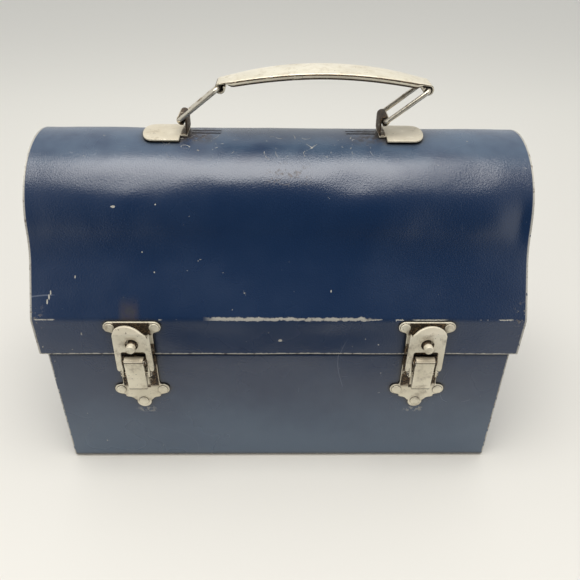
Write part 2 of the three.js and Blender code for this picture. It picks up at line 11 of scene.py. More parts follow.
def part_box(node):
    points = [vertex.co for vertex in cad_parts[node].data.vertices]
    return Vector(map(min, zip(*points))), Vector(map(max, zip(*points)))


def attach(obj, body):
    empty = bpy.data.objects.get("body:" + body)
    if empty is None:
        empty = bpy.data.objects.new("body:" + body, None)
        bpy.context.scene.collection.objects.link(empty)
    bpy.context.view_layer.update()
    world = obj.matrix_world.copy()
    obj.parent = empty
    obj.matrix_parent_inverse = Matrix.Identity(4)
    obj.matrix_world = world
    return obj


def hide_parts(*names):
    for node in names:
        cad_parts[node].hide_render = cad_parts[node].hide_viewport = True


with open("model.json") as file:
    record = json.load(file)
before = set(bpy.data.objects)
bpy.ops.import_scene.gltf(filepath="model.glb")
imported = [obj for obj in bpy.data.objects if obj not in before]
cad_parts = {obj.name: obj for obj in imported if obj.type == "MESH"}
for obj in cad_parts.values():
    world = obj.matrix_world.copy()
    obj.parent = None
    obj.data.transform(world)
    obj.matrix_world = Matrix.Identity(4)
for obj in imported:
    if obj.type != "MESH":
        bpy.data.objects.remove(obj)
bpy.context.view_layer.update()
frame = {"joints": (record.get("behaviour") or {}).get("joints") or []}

MM = 0.001
SIDES = ((-1, "left"), (1, "right"))


# ---- Sizes, read from the frame ----
def box_mm(node):
    low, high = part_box(node)
    return low / MM, high / MM


def pivot(name):
    joint = next(j for j in frame["joints"] if j["name"] == name)
    return Vector(joint["pos_m"]) / MM


body_high = box_mm("body_shell")[1]
lid_low, lid_high = box_mm("lid_shell")
BODY_HALF = body_high.x
BODY_FACE = body_high.y
LIP_TOP = body_high.z
LID_FACE = lid_high.y
LID_LINE = lid_low.z
LID_END = lid_high.x
HINGE = pivot("lid_hinge")
LATCH_X = pivot("lever_right_pivot").x
LEVER_PIVOT = (-pivot("lever_right_pivot").y - BODY_FACE, pivot("lever_right_pivot").z)
HASP_PIVOT = (-pivot("hasp_right_pivot").y - BODY_FACE, pivot("hasp_right_pivot").z)
EYE_LEFT, EYE_RIGHT = pivot("link_left_pivot"), pivot("link_right_pivot")
GRIP_EYE = pivot("grip_pivot")
HANDLE_X = (EYE_LEFT.x + EYE_RIGHT.x) / 2
EYE_X = (EYE_RIGHT.x - EYE_LEFT.x) / 2
EYE_Z = EYE_RIGHT.z
BAIL_PIVOT = pivot("bail_hinge")

SHEET = 0.8
PLATE = 1.0
LIP_INSET = 0.6
BODY_CORNER = 3.0
RIM_TOP = 103.5
PANEL_SLOPE = 0.62
FILLET = 45.0
DOME = 43.4
DOME_CENTRE = lid_high.z - DOME
WIRE = 1.2
EYE_OUTER = 2.6
EYE_HALF = 6.7
VENT_X, VENT_HALF, VENT_WIDE = 40.5, 7.7, 0.65


# ---- Camera, floor and light ----
CAMERA_AT = Vector((0.1, -309.2, 287.25))
CAMERA_TURN, CAMERA_TILT, CAMERA_ROLL = (math.radians(a) for a in (-1.10, 56.11, 0.75))
CAMERA_LENS = 37.24


def make_camera():
    data = bpy.data.cameras.new("camera")
    data.lens = CAMERA_LENS
    data.clip_start, data.clip_end = 0.01, 20
    camera = bpy.data.objects.new("camera", data)
    turn = Matrix.Rotation(CAMERA_TURN, 4, "Z") @ Matrix.Rotation(CAMERA_TILT, 4, "X")
    turn = turn @ Matrix.Rotation(CAMERA_ROLL, 4, "Z")
    camera.matrix_world = Matrix.Translation(CAMERA_AT * MM) @ turn
    bpy.context.scene.collection.objects.link(camera)
    bpy.context.scene.camera = camera


FLOOR_FRONT = -0.152


def make_floor():
    mesh = bpy.data.meshes.new("floor")
    reach = 6.0
    corners = [(-reach, FLOOR_FRONT, 0), (reach, FLOOR_FRONT, 0), (reach, reach, 0), (-reach, reach, 0)]
    mesh.from_pydata(corners, [], [(0, 1, 2, 3)])
    floor = bpy.data.objects.new("floor", mesh)
    n = Nodes("floor")
    # Painted light: the floor is painted paler towards the back, standing in for lamp light that does not
    # reach it there.
    colour = n.mix(n.step(n.y, 0.0, 0.7), (0.715, 0.69, 0.635, 1), (0.89, 0.862, 0.785, 1))
    mesh.materials.append(n.finish(colour, 0.6))
    bpy.context.scene.collection.objects.link(floor)


def make_light(name, place, target, size, power, colour, in_reflections=True):
    data = bpy.data.lights.new(name, "AREA")
    data.shape = "RECTANGLE"
    data.size, data.size_y = size
    data.energy = power
    data.color = colour
    light = bpy.data.objects.new(name, data)
    light.location = place
    light.visible_glossy = in_reflections
    light.rotation_euler = (Vector(target) - Vector(place)).to_track_quat("-Z", "Y").to_euler()
    bpy.context.scene.collection.objects.link(light)


def make_world():
    """A pale room with a dark place in front, where the paint would otherwise mirror a bright wall."""
    world = bpy.data.worlds.new("studio")
    bpy.context.scene.world = world
    world.use_nodes = True
    tree = world.node_tree

    def value(operation, a, b=0.0):
        node = tree.nodes.new("ShaderNodeMath")
        node.operation = operation
        for socket, given in zip(node.inputs, (a, b)):
            if isinstance(given, bpy.types.NodeSocket):
                tree.links.new(given, socket)
            else:
                socket.default_value = given
        return node.outputs[0]

    split = tree.nodes.new("ShaderNodeSeparateXYZ")
    tree.links.new(tree.nodes.new("ShaderNodeTexCoord").outputs["Generated"], split.inputs[0])
    narrowing = value("MULTIPLY", value("MAXIMUM", value("SUBTRACT", 0.1, split.outputs["Z"]), 0.0), 0.28)
    sideways = value("DIVIDE", value("ABSOLUTE", split.outputs["X"]), value("SUBTRACT", 0.36, narrowing))
    upward = value("DIVIDE", value("MAXIMUM", value("SUBTRACT", split.outputs["Z"], 0.45), 0.0), 0.60)
    behind = value("MULTIPLY", value("MAXIMUM", value("ADD", split.outputs["Y"], 0.05), 0.0), 6.0)
    away = value("ADD", value("POWER", sideways, 2.0), value("POWER", upward, 2.0))
    ramp = tree.nodes.new("ShaderNodeMapRange")
    ramp.interpolation_type = "SMOOTHSTEP"
    ramp.inputs["From Min"].default_value = 0.45
    ramp.inputs["From Max"].default_value = 2.2
    ramp.inputs["To Min"].default_value = 0.03
    ramp.inputs["To Max"].default_value = 0.76
    tree.links.new(value("ADD", away, behind), ramp.inputs["Value"])
    background = tree.nodes["Background"]
    background.inputs["Color"].default_value = (0.97, 0.985, 1.0, 1)
    tree.links.new(ramp.outputs["Result"], background.inputs["Strength"])


def make_stage():
    make_camera()
    make_floor()
    make_world()
    make_light("overhead", (-0.055, -0.24, 1.03), (-0.055, -0.24, 0), (0.80, 0.60), 8.2, (1.0, 0.99, 0.97))
    make_light("front_fill", (0.0, -0.9, 1.0), (0, -0.05, 0), (1.2, 0.5), 2.5, (1.0, 0.985, 0.955), False)
    bpy.context.scene.view_settings.view_transform = "Standard"


# ---- Node helper ----
class Nodes:
    """Builds a material's node tree with calls that read like an expression."""

    def __init__(self, name):
        self.material = bpy.data.materials.new(name)
        self.material.use_nodes = True
        self.tree = self.material.node_tree
        self.shader = self.tree.nodes["Principled BSDF"]
        self.place = self.tree.nodes.new("ShaderNodeTexCoord").outputs["Object"]
        parts = self.node("ShaderNodeSeparateXYZ", self.place)
        self.x, self.y, self.z = parts.outputs

    def node(self, kind, *inputs, **settings):
        made = self.tree.nodes.new(kind)
        for key, value in settings.items():
            setattr(made, key, value)
        for socket, value in zip(made.inputs, inputs):
            self.feed(socket, value)
        return made

    def feed(self, socket, value):
        if isinstance(value, bpy.types.NodeSocket):
            self.tree.links.new(value, socket)
        elif value is not None:
            socket.default_value = value

    def math(self, operation, a, b=None, clamp=False):
        return self.node("ShaderNodeMath", a, b, operation=operation, use_clamp=clamp).outputs[0]

    def add(self, a, b):
        return self.math("ADD", a, b)

    def chain(self, operation, values):
        result, *others = values
        for other in others:
            result = self.math(operation, result, other)
        return result

    def times(self, *values):
        return self.chain("MULTIPLY", values)

    def most(self, *values):
        return self.chain("MAXIMUM", values)

    def gap(self, a, b):
        return self.math("ABSOLUTE", self.math("SUBTRACT", a, b))

    def step(self, value, low, high, to_low=0.0, to_high=1.0):
        made = self.node("ShaderNodeMapRange", value, low, high, to_low, to_high)
        made.interpolation_type = "SMOOTHSTEP"
        return made.outputs["Result"]

    def near(self, value, centre, reach, soft):
        """1 where the value is within reach of the centre, falling to 0 over soft."""
        away = self.gap(value, centre)
        return self.step(away, reach + soft, reach)

    def rise(self, place, low, high):
        """From 0 to 1 between two places in millimetres."""
        return self.step(place, low * MM, high * MM)

    def band(self, place, centre, reach, soft):
        """The same as near, in millimetres."""
        return self.near(place, centre * MM, reach * MM, soft * MM)

    def noise(self, scale, detail=4.0, roughness=0.55, stretch=(1, 1, 1), seed=0.0):
        moved = self.node("ShaderNodeMapping", self.place, (seed, seed * 0.7, seed * 1.3), None, stretch)
        made = self.node("ShaderNodeTexNoise", moved.outputs[0])
        made.inputs["Scale"].default_value = scale
        made.inputs["Detail"].default_value = detail
        made.inputs["Roughness"].default_value = roughness
        return made.outputs["Fac"]

    def scratches(self, scale, thin, seed, cover=0.56):
        """Long thin wandering lines: where a broad noise crosses its middle, broken up by another."""
        field = self.noise(scale, 0.0, 0.5, seed=seed)
        away = self.gap(field, 0.5)
        line = self.step(away, thin, thin * 0.35)
        broken = self.step(self.noise(scale * 1.7, 2, 0.6, seed=seed + 3), cover, cover + 0.06)
        return self.times(line, broken)

    def blot(self, x, z, wide, tall, ragged):
        """A ragged spot on the front."""
        across = self.times(self.math("SUBTRACT", self.x, x * MM), 1 / (wide * MM))
        upward = self.times(self.math("SUBTRACT", self.z, z * MM), 1 / (tall * MM))
        away = self.add(self.times(across, across), self.times(upward, upward))
        return self.step(self.add(away, self.times(ragged, 3.0)), 2.6, 2.3)

    def occlusion_shade(self, reach, open_air=0.90, shut_in=0.52):
        """1 deep in the corners between touching pieces, to paint the shade that falls there."""
        made = self.tree.nodes.new("ShaderNodeAmbientOcclusion")
        made.samples = 6
        made.inputs["Distance"].default_value = reach * MM
        return self.step(made.outputs["AO"], open_air, shut_in)

    def mix(self, amount, a, b):
        made = self.node("ShaderNodeMix", data_type="RGBA")
        self.feed(made.inputs["Factor"], amount)
        self.feed(made.inputs[6], a)
        self.feed(made.inputs[7], b)
        return made.outputs[2]

    def blend(self, amount, a, b):
        made = self.node("ShaderNodeMix", data_type="FLOAT")
        self.feed(made.inputs["Factor"], amount)
        self.feed(made.inputs[2], a)
        self.feed(made.inputs[3], b)
        return made.outputs[0]

    def bump(self, height, distance, strength=1.0, under=None):
        made = self.node("ShaderNodeBump")
        made.inputs["Strength"].default_value = strength
        made.inputs["Distance"].default_value = distance
        self.feed(made.inputs["Height"], height)
        if under is not None:
            self.feed(made.inputs["Normal"], under)
        return made.outputs["Normal"]

    def finish(self, colour, rough, normal=None, metal=0.0):
        self.feed(self.shader.inputs["Base Color"], colour)
        self.feed(self.shader.inputs["Roughness"], rough)
        self.feed(self.shader.inputs["Metallic"], metal)
        if normal is not None:
            self.feed(self.shader.inputs["Normal"], normal)
        return self.material


# ---- Materials ----
NAVY = (0.0045, 0.0185, 0.056, 1)
NAVY_FADED = (0.0075, 0.0235, 0.064, 1)
NAVY_PALER = (0.053, 0.087, 0.136, 1)
STEEL = (0.47, 0.445, 0.385, 1)
RUST = (0.075, 0.040, 0.020, 1)
GRIME = (0.022, 0.018, 0.016, 1)


def paint(name, wear, shine=1.72, paler=None):
    """Worn navy enamel on steel; `wear` gives its bare and dirty places, and the last function where the
    enamel is paler and greyer, on the body as a painted reflection of the floor.
    """
    n = Nodes(name)
    broad = n.noise(14, 3, 0.6, seed=1)
    ragged = n.noise(420, 5, 0.65, seed=5)
    speck = n.noise(260, 3, 0.6, seed=9)
    bare, darkened = wear(n, ragged)
    chips = n.times(n.step(speck, 0.725, 0.74), n.step(broad, 0.46, 0.6))
    lines = n.most(n.scratches(9, 0.0011, 4.0), n.scratches(17, 0.0016, 11.0, 0.60))
    bare = n.math("MINIMUM", n.most(bare, chips), 1.0)
    colour = n.mix(n.step(broad, 0.3, 0.75), NAVY, NAVY_FADED)
    if paler is not None:
        colour = n.mix(paler(n), colour, NAVY_PALER)
    colour = n.mix(n.times(lines, 0.5), colour, (0.13, 0.15, 0.20, 1))
    # Painted shade: near-black in the corners that ambient occlusion finds, such as round the plates and
    # under the lid's rim.
    colour = n.mix(n.times(n.occlusion_shade(4.5, 0.97, 0.72), 0.9), colour, (0.004, 0.004, 0.004, 1))
    colour = n.mix(n.times(darkened, 0.85), colour, n.mix(n.step(ragged, 0.4, 0.6), RUST, GRIME))
    colour = n.mix(bare, colour, n.mix(n.step(ragged, 0.54, 0.70), STEEL, RUST))
    rough = n.blend(n.step(broad, 0.25, 0.8), 0.22, 0.31)
    rough = n.blend(n.most(bare, darkened), n.blend(lines, rough, 0.5), 0.5)
    grain = n.bump(n.noise(1300, 2, 0.6, seed=3), 0.000085)
    grain = n.bump(n.noise(75, 1, 0.4, seed=2), 0.00012, 1.0, grain)
    chipped = n.bump(n.math("SUBTRACT", 1.0, bare), 0.00015, 0.8, grain)
    n.shader.inputs["IOR"].default_value = shine
    return n.finish(colour, rough, chipped, n.times(bare, 0.35))


def ragged_line(n, coordinate, at, width, ragged, amount):
    """A worn line along an edge, wider and thinner by the ragged noise."""
    away = n.gap(coordinate, at * MM)
    shifted = n.add(away, n.times(n.math("SUBTRACT", ragged, amount), 2.2 * width * MM))
    return n.rise(shifted, width, 0.55 * width)


# Chips at single places on the lid's front: x, height, half length along x, half height
LID_CHIPS = (
    (-83.0, 155.0, 1.1, 0.5), (-118.1, 111.4, 0.4, 1.1), (-117.2, 113.4, 0.4, 1.2), (-116.4, 115.2, 0.3, 1.0),
    (-62.0, 156.0, 0.4, 0.35), (0.0, 90.2, 1.0, 0.8), (-104.0, 122.0, 0.3, 0.6), (26.0, 116.0, 0.3, 0.6),
    (-64.0, 124.0, 0.35, 0.3), (-70.0, 133.0, 0.3, 0.3),
)


def lid_wear(n, ragged):
    front = n.rise(n.y, -20, -24)
    outer = n.math("ABSOLUTE", n.x)
    thin = ragged_line(n, n.z, RIM_TOP, 0.35, ragged, 0.56)
    thin = n.times(thin, n.step(n.noise(130, 3, 0.6, seed=8), 0.53, 0.60))
    thin = n.times(thin, n.rise(n.math("ABSOLUTE", n.add(n.x, 77 * MM)), 8, 11))
    stripe = n.times(ragged_line(n, n.z, RIM_TOP + 0.2, 1.25, ragged, 0.42), n.band(n.x, 5, 37, 8))
    crown = n.times(n.band(n.x, 77, 6, 4), ragged_line(n, n.z, RIM_TOP, 0.35, ragged, 0.5))
    lower = ragged_line(n, n.z, LID_LINE, 0.75, ragged, 0.50)
    spots = 0.0
    for chip in LID_CHIPS:
        spots = n.most(n.blot(*chip, ragged), spots)
    corner = n.times(n.rise(outer, 119, 126), n.step(ragged, 0.57, 0.64))
    corner = n.times(corner, n.band(n.z, RIM_TOP - 1, 5, 6))
    edge = n.times(n.rise(outer, LID_END - 1.15, LID_END - 0.55), n.step(ragged, 0.30, 0.42))
    bare = n.most(n.times(n.most(thin, stripe, crown, spots), front), lower, corner, edge)
    from_middle = n.gap(n.x, HANDLE_X * MM)
    ears = n.times(n.band(from_middle, EYE_X - 6, 5, 9), n.band(n.y, -1, 5, 10))
    ears = n.times(ears, n.rise(n.z, 165, 176), n.step(ragged, 0.36, 0.6))
    streak = n.times(n.band(n.x, -77, 2.5, 4), n.band(n.z, 104, 3, 8))
    streak = n.times(streak, front, n.step(ragged, 0.2, 0.8))
    vents = n.times(n.band(from_middle, VENT_X, 7, 3), n.band(n.y, 0.6, 2, 4))
    vents = n.times(vents, n.rise(n.z, 170, 176), n.step(ragged, 0.3, 0.7))
    scuff = n.times(n.band(n.x, -5, 38, 22), n.rise(n.z, 170, 176))
    scuff = n.times(scuff, n.band(n.y, -14, 7, 6), n.scratches(150, 0.016, 31.0, 0.52))
    rusty = n.times(n.band(n.x, 4, 7, 6), n.band(n.z, 168, 2.5, 3))
    rusty = n.times(rusty, front, n.step(n.noise(300, 4, 0.7, seed=27), 0.52, 0.62))
    return n.most(bare, n.times(scuff, 0.8)), n.most(ears, streak, n.times(vents, 0.6), n.times(rusty, 0.7))


def end_wear(n, ragged):
    outer = n.math("ABSOLUTE", n.x)
    lip = n.times(n.rise(outer, LID_END - 0.9, LID_END - 0.3), n.step(ragged, 0.34, 0.46))
    return lip, n.times(n.step(ragged, 0.60, 0.70), 0.5)


def body_wear(n, ragged):
    outer = n.math("ABSOLUTE", n.x)
    low = ragged_line(n, n.z, 0.9, 0.8, ragged, 0.50)
    low = n.times(low, n.rise(n.math("ABSOLUTE", n.y), BODY_FACE - 2.6, BODY_FACE - 1.9))
    edge = n.times(n.rise(outer, BODY_HALF - 0.8, BODY_HALF - 0.35), n.step(ragged, 0.40, 0.50))
    knock = n.times(n.rise(outer, BODY_HALF - 2.2, BODY_HALF - 1), n.step(ragged, 0.70, 0.76))
    front = n.rise(n.y, -60, -61)
    rub = n.times(n.band(outer, LATCH_X, 3.5, 3), n.band(n.z, 39.6, 0.8, 1.6))
    rub = n.times(rub, front, n.step(ragged, 0.44, 0.62))
    stain = n.times(n.band(outer, LATCH_X, 12, 4), n.band(n.z, 60, 18, 6))
    stain = n.times(stain, front, n.step(ragged, 0.6, 0.75))
    return n.most(low, edge, knock, n.times(rub, 0.7)), stain


def lid_top_paler(n):
    """Paler, greyer enamel in blotches on the top of the dome."""
    return n.times(n.rise(n.z, 168, 177.5), n.step(n.noise(30, 3, 0.6, seed=23), 0.2, 0.7))


def body_painted_reflection(n):
    """The body's enamel is duller, paler and greyer towards the bottom: a painted reflection of the bright
    floor.
    """
    cloudy = n.add(n.z, n.times(n.math("SUBTRACT", n.noise(22, 3, 0.6, seed=19), 0.5), 60 * MM))
    return n.rise(cloudy, 78, 2)


def hinge_wear(n, ragged):
    rub = n.times(n.rise(n.y, 66, 67.8), n.step(ragged, 0.53, 0.61))
    return rub, n.times(n.step(ragged, 0.56, 0.66), 0.8)


NICKEL = (0.74, 0.675, 0.52, 1)
NICKEL_PALE = (0.88, 0.815, 0.65, 1)
TARNISH = (0.17, 0.105, 0.050, 1)
SOOT = (0.028, 0.020, 0.013, 1)


def nickel(name, tarnish_and_shade_places=None, amount=0.4, dull=0.42):
    """Aged nickel plate: a warm shine that tarnish dulls in blotches, darkened in sheltered places by tarnish
    and painted shade.
    """
    n = Nodes(name)
    blotch = n.noise(160, 5, 0.65, seed=6)
    broad = n.noise(45, 3, 0.6, seed=13)
    fine = n.noise(1500, 2, 0.5, seed=7)
    colour = n.mix(n.step(broad, 0.3, 0.7), NICKEL, NICKEL_PALE)
    stain = n.times(n.step(blotch, 0.46, 0.70), amount)
    pits = n.step(n.noise(700, 3, 0.6, seed=15), 0.66, 0.72)
    # Tarnish blotches, and painted shade from ambient occlusion in the corners.
    darkened = n.most(stain, n.times(n.occlusion_shade(1.6), 0.95))
    if tarnish_and_shade_places is not None:
        darkened = n.most(darkened, n.times(tarnish_and_shade_places(n), n.step(blotch, 0.26, 0.44)))
    colour = n.mix(darkened, colour, TARNISH)
    colour = n.mix(n.times(n.step(darkened, 0.4, 0.95), n.step(fine, 0.36, 0.52)), colour, SOOT)
    colour = n.mix(n.times(pits, 0.6), colour, SOOT)
    rough = n.blend(n.step(blotch, 0.3, 0.7), dull, dull + 0.14)
    rough = n.blend(darkened, rough, 0.65)
    scratch = n.noise(700, 3, 0.6, (1, 1, 0.12), 21)
    normal = n.bump(scratch, 0.000012, 0.7, n.bump(blotch, 0.00008))
    return n.finish(colour, rough, normal, n.blend(darkened, 0.55, 0.3))


def from_latch(n):
    return n.gap(n.math("ABSOLUTE", n.x), LATCH_X * MM)


# Tarnish and painted shade on the keeper behind the hasp's tip, and painted shade on its lower part behind
# the hasp.
def keeper_tarnish_and_shade(n):
    above = n.times(n.rise(from_latch(n), 10.5, 8.5), n.band(n.z, 98.4, 3.6, 0.8))
    return n.most(above, n.rise(n.z, 90, 88))


# Grime and painted shade beside the lever, painted shade on the upper part behind the lever and hasp, and a
# painted shadow under the lever's lower edge.
def base_grime_and_shade(n):
    beside = n.times(n.rise(from_latch(n), 4, 5), n.rise(from_latch(n), 10, 9.2))
    below = n.times(n.rise(from_latch(n), 5.2, 4.8), n.band(n.z, 58.6, 0.8, 0.7))
    return n.most(n.times(beside, n.rise(n.z, 57, 60)), n.rise(n.z, 72, 75), below)


def lever_painted_shade(n):
    """Painted shade: the shadow line under the bead, the shaded roof above it and the lowest edge."""
    line = n.band(n.z, 81.6, 0.15, 0.2)
    return n.most(line, n.times(n.rise(n.z, 82.5, 82.8), 0.45), n.rise(n.z, 62.9, 62.6))


def hasp_painted_shade(n):
    """Painted shade on the leaning tip and over the hole."""
    over = n.times(n.band(n.z, 95.6, 0.6, 1.2), n.rise(from_latch(n), 3.6, 1.8))
    return n.most(n.times(n.rise(n.z, 98.2, 99.0), 0.22), n.times(over, 0.4))


# Painted shade on the stud's shank, back in the hasp's hole.
def stud_painted_shade(n):
    return n.rise(n.y, -71.5, -70)


# Tarnish and painted shade on the tongue curled round the wire, and some tarnish over the whole bracket.
def ear_tarnish_and_shade(n):
    from_middle = n.gap(n.x, HANDLE_X * MM)
    tongue = n.times(n.rise(from_middle, EYE_X + 1.6, EYE_X + 1.0), n.rise(n.z, 180, 181))
    return n.most(tongue, 0.26)


# Painted shade: darker on faces that point downwards and on faces tilted halfway up, chosen by which way each
# face points.
def grip_painted_shade(n):
    facing = n.node("ShaderNodeSeparateXYZ", n.tree.nodes.new("ShaderNodeNewGeometry").outputs["Normal"])
    upward = facing.outputs["Z"]
    return n.most(n.step(upward, -0.1, -0.45), n.near(upward, 0.5, 0.16, 0.12))


def wire_steel(name):
    n = Nodes(name)
    blotch = n.noise(240, 4, 0.6, seed=17)
    colour = n.mix(n.step(blotch, 0.50, 0.74), (0.70, 0.64, 0.52, 1), TARNISH)
    rough = n.blend(n.step(blotch, 0.4, 0.7), 0.27, 0.5)
    return n.finish(colour, rough, n.bump(blotch, 0.00006), 0.95)


# ---- Mesh helpers ----
def arc(x, y, radius, start, end, steps):
    turns = [math.radians(start + (end - start) * i / steps) for i in range(steps + 1)]
    return [Vector((x + radius * math.cos(a), y + radius * math.sin(a))) for a in turns]


def points(*pairs):
    return [Vector(pair) for pair in pairs]


def mirrored(half):
    """A half outline from top middle to bottom middle, completed by its mirror image."""
    whole = half + [Vector((-p.x, p.y)) for p in reversed(half)]
    return [p for i, p in enumerate(whole) if (p - whole[i - 1]).length > 1e-6]


def resampled(line, spacing, closed=True):
    """The same line with its long straight stretches divided."""
    made = []
    for here, after in zip(line, line[1:] + line[:1] if closed else line[1:]):
        count = max(1, round((after - here).length / spacing))
        made += [here.lerp(after, k / count) for k in range(count)]
    return made if closed else made + [line[-1]]


def bend(start, corner, end, steps):
    """A smooth turn from start to end that leans towards the corner."""
    turns = [k / steps for k in range(steps + 1)]
    return [(1 - t) ** 2 * start + 2 * t * (1 - t) * corner + t * t * end for t in turns]


def rounded(line, radius, steps=5):
    """A closed outline with its corners rounded; a corner between short edges gets a smaller arc."""
    made = []
    for i, here in enumerate(line):
        before, after = line[i - 1], line[(i + 1) % len(line)]
        back, on = before - here, after - here
        turn = math.pi - back.angle(on)
        if turn < math.radians(12):
            made.append(here)
            continue
        cut = min(radius * math.tan(turn / 2), 0.45 * back.length, 0.45 * on.length)
        made += bend(here + back.normalized() * cut, here, here + on.normalized() * cut, steps)
    return made


def area(loop):
    return sum(a.cross(b) for a, b in zip(loop, loop[1:] + loop[:1])) / 2


def inset(loop, distance):
    """The loop moved to its left by a distance."""
    moved = []
    for i, here in enumerate(loop):
        a = (here - loop[i - 1]).normalized()
        b = (loop[(i + 1) % len(loop)] - here).normalized()
        normal = Vector((-(a.y + b.y), a.x + b.x)).normalized()
        lean = max(0.5, normal.dot(Vector((-a.y, a.x))))
        moved.append(here + normal * (distance / lean))
    return moved


def strip_outline(line, half):
    """An open line thickened on both sides."""
    left, right = [], []
    for i, here in enumerate(line):
        a = (here - line[max(i - 1, 0)]) if i else (line[1] - here)
        b = (line[min(i + 1, len(line) - 1)] - here) if i < len(line) - 1 else a
        along = (a.normalized() + b.normalized()).normalized()
        side = Vector((-along.y, along.x))
        left.append(here + side * half)
        right.append(here - side * half)
    return left + right[::-1]


def bridge(bm, low, high):
    """A band of faces between two rings with equally many points."""
    for k in range(len(low)):
        j = (k + 1) % len(low)
        bm.faces.new((low[k], low[j], high[j], high[k]))


def ring(bm, centre, radius, across, other, sides):
    """Points around a centre, from two directions at right angles."""
    angles = [2 * math.pi * k / sides for k in range(sides)]
    return [bm.verts.new(centre + radius * (across * math.cos(a) + other * math.sin(a))) for a in angles]


FLAT_RIM = 0.12


def plate(bm, loops, thickness, edge, to_world, steps=3):
    """A flat plate with rounded edges: the first loop is its outline and the others are holes."""
    if area(loops[0]) < 0:
        loops = [loops[0][::-1]] + list(loops[1:])
    loops = [loops[0]] + [hole if area(hole) < 0 else hole[::-1] for hole in loops[1:]]
    turns = [math.pi / 2 * k / steps for k in range(steps + 1)]
    rows = [(edge + FLAT_RIM, 0)]
    rows += [(edge * (1 - math.sin(a)), edge * (1 - math.cos(a))) for a in turns]
    rows += [(edge * (1 - math.cos(a)), thickness - edge * (1 - math.sin(a))) for a in turns]
    rows.append((edge + FLAT_RIM, thickness))
    grids = []
    for distance, height in rows:
        moved = [inset(loop, distance) for loop in loops]
        grids.append([[bm.verts.new(to_world(p.x, p.y, height)) for p in loop] for loop in moved])
    for low, high in zip(grids, grids[1:]):
        for a, b in zip(low, high):
            bridge(bm, a, b)
    for grid, distance, flip in ((grids[0], rows[0][0], True), (grids[-1], rows[-1][0], False)):
        flat = [[Vector((p.x, p.y, 0)) for p in inset(loop, distance)] for loop in loops]
        verts = [v for loop in grid for v in loop]
        for triangle in tessellate_polygon(flat):
            corners = [verts[i] for i in triangle]
            spots = [[p for loop in flat for p in loop][i] for i in triangle]
            up = (spots[1] - spots[0]).cross(spots[2] - spots[0]).z > 0
            if up == flip:
                corners.reverse()
            bm.faces.new(corners)


def facing_front(x, out):
    """Plate coordinates to the frame: u is X, v is Z and the thickness grows out of the front."""
    return lambda u, v, w: Vector((x + u, -BODY_FACE - out - w, v))


def across_x(x):
    """u is Y, v is Z and the thickness grows along X."""
    return lambda u, v, w: Vector((x + w, u, v))


def across_y(y):
    """u is X, v is Z and the thickness grows from y towards the front."""
    return lambda u, v, w: Vector((u, y - w, v))


def lying(z):
    return lambda u, v, w: Vector((u, v, z + w))


def turned(bm, profile, origin, direction, sides=28):
    """A turned shape: a closed or axis-to-axis profile of (radius, distance along the direction)."""
    along = Vector(direction).normalized()
    across = along.orthogonal().normalized()
    third = along.cross(across)
    rings = []
    for radius, distance in profile:
        centre = Vector(origin) + along * distance
        if radius < 1e-6:
            rings.append([bm.verts.new(centre)])
            continue
        rings.append(ring(bm, centre, radius, across, third, sides))
    for low, high in zip(rings, rings[1:]):
        if len(low) == len(high) > 1:
            bridge(bm, low, high)
            continue
        for k in range(sides):
            j = (k + 1) % sides
            if len(low) == 1:
                bm.faces.new((low[0], high[j], high[k]))
            else:
                bm.faces.new((low[k], low[j], high[0]))


def both_ends(profile):
    """A rod's profile from one end to the other, from the profile of its first end."""
    return profile + [(radius, -distance) for radius, distance in reversed(profile)]


def tube(bm, path, radius, closed=False, sides=14):
    """A round wire along a list of points; the ends of an open wire are domed."""
    count = len(path)
    tangents = []
    for i in range(count):
        before = path[i - 1] if closed or i else path[i]
        after = path[(i + 1) % count] if closed or i < count - 1 else path[i]
        tangents.append((after - before).normalized())
    normal = tangents[0].orthogonal().normalized()
    rings = []
    stations = [(path[i], tangents[i], radius) for i in range(count)]
    if not closed:
        first, last = stations[0], stations[-1]
        stations.insert(0, (first[0] - first[1] * radius * 0.35, first[1], radius * 0.7))
        stations.append((last[0] + last[1] * radius * 0.35, last[1], radius * 0.7))
    for centre, tangent, size in stations:
        normal = (normal - tangent * normal.dot(tangent)).normalized()
        rings.append(ring(bm, centre, size, normal, tangent.cross(normal), sides))
    pairs = list(zip(rings, rings[1:]))
    if closed:
        first, last = rings[0], rings[-1]
        shift = min(range(sides), key=lambda k: (first[k].co - last[0].co).length)
        pairs.append((last, first[shift:] + first[:shift]))
    for low, high in pairs:
        bridge(bm, low, high)
    if not closed:
        bm.faces.new(rings[0][::-1])
        bm.faces.new(rings[-1])


def rounded_path(corners, radius, closed, steps=6):
    """Points along straight stretches joined by rounded corners."""
    made = []
    count = len(corners)
    for i, here in enumerate(corners):
        if not closed and i in (0, count - 1):
            made.append(here)
            continue
        back, on = corners[i - 1] - here, corners[(i + 1) % count] - here
        made += bend(here + back.normalized() * radius, here, here + on.normalized() * radius, steps)
    return made


def divide(bm, axis, places):
    """Cuts the mesh's faces along planes across an axis, so that it can bend there."""
    normal = Vector((0, 0, 0))
    normal[axis] = 1
    for place in places:
        geometry = bm.verts[:] + bm.edges[:] + bm.faces[:]
        bmesh.ops.bisect_plane(bm, geom=geometry, plane_co=normal * place, plane_no=normal, dist=1e-5)


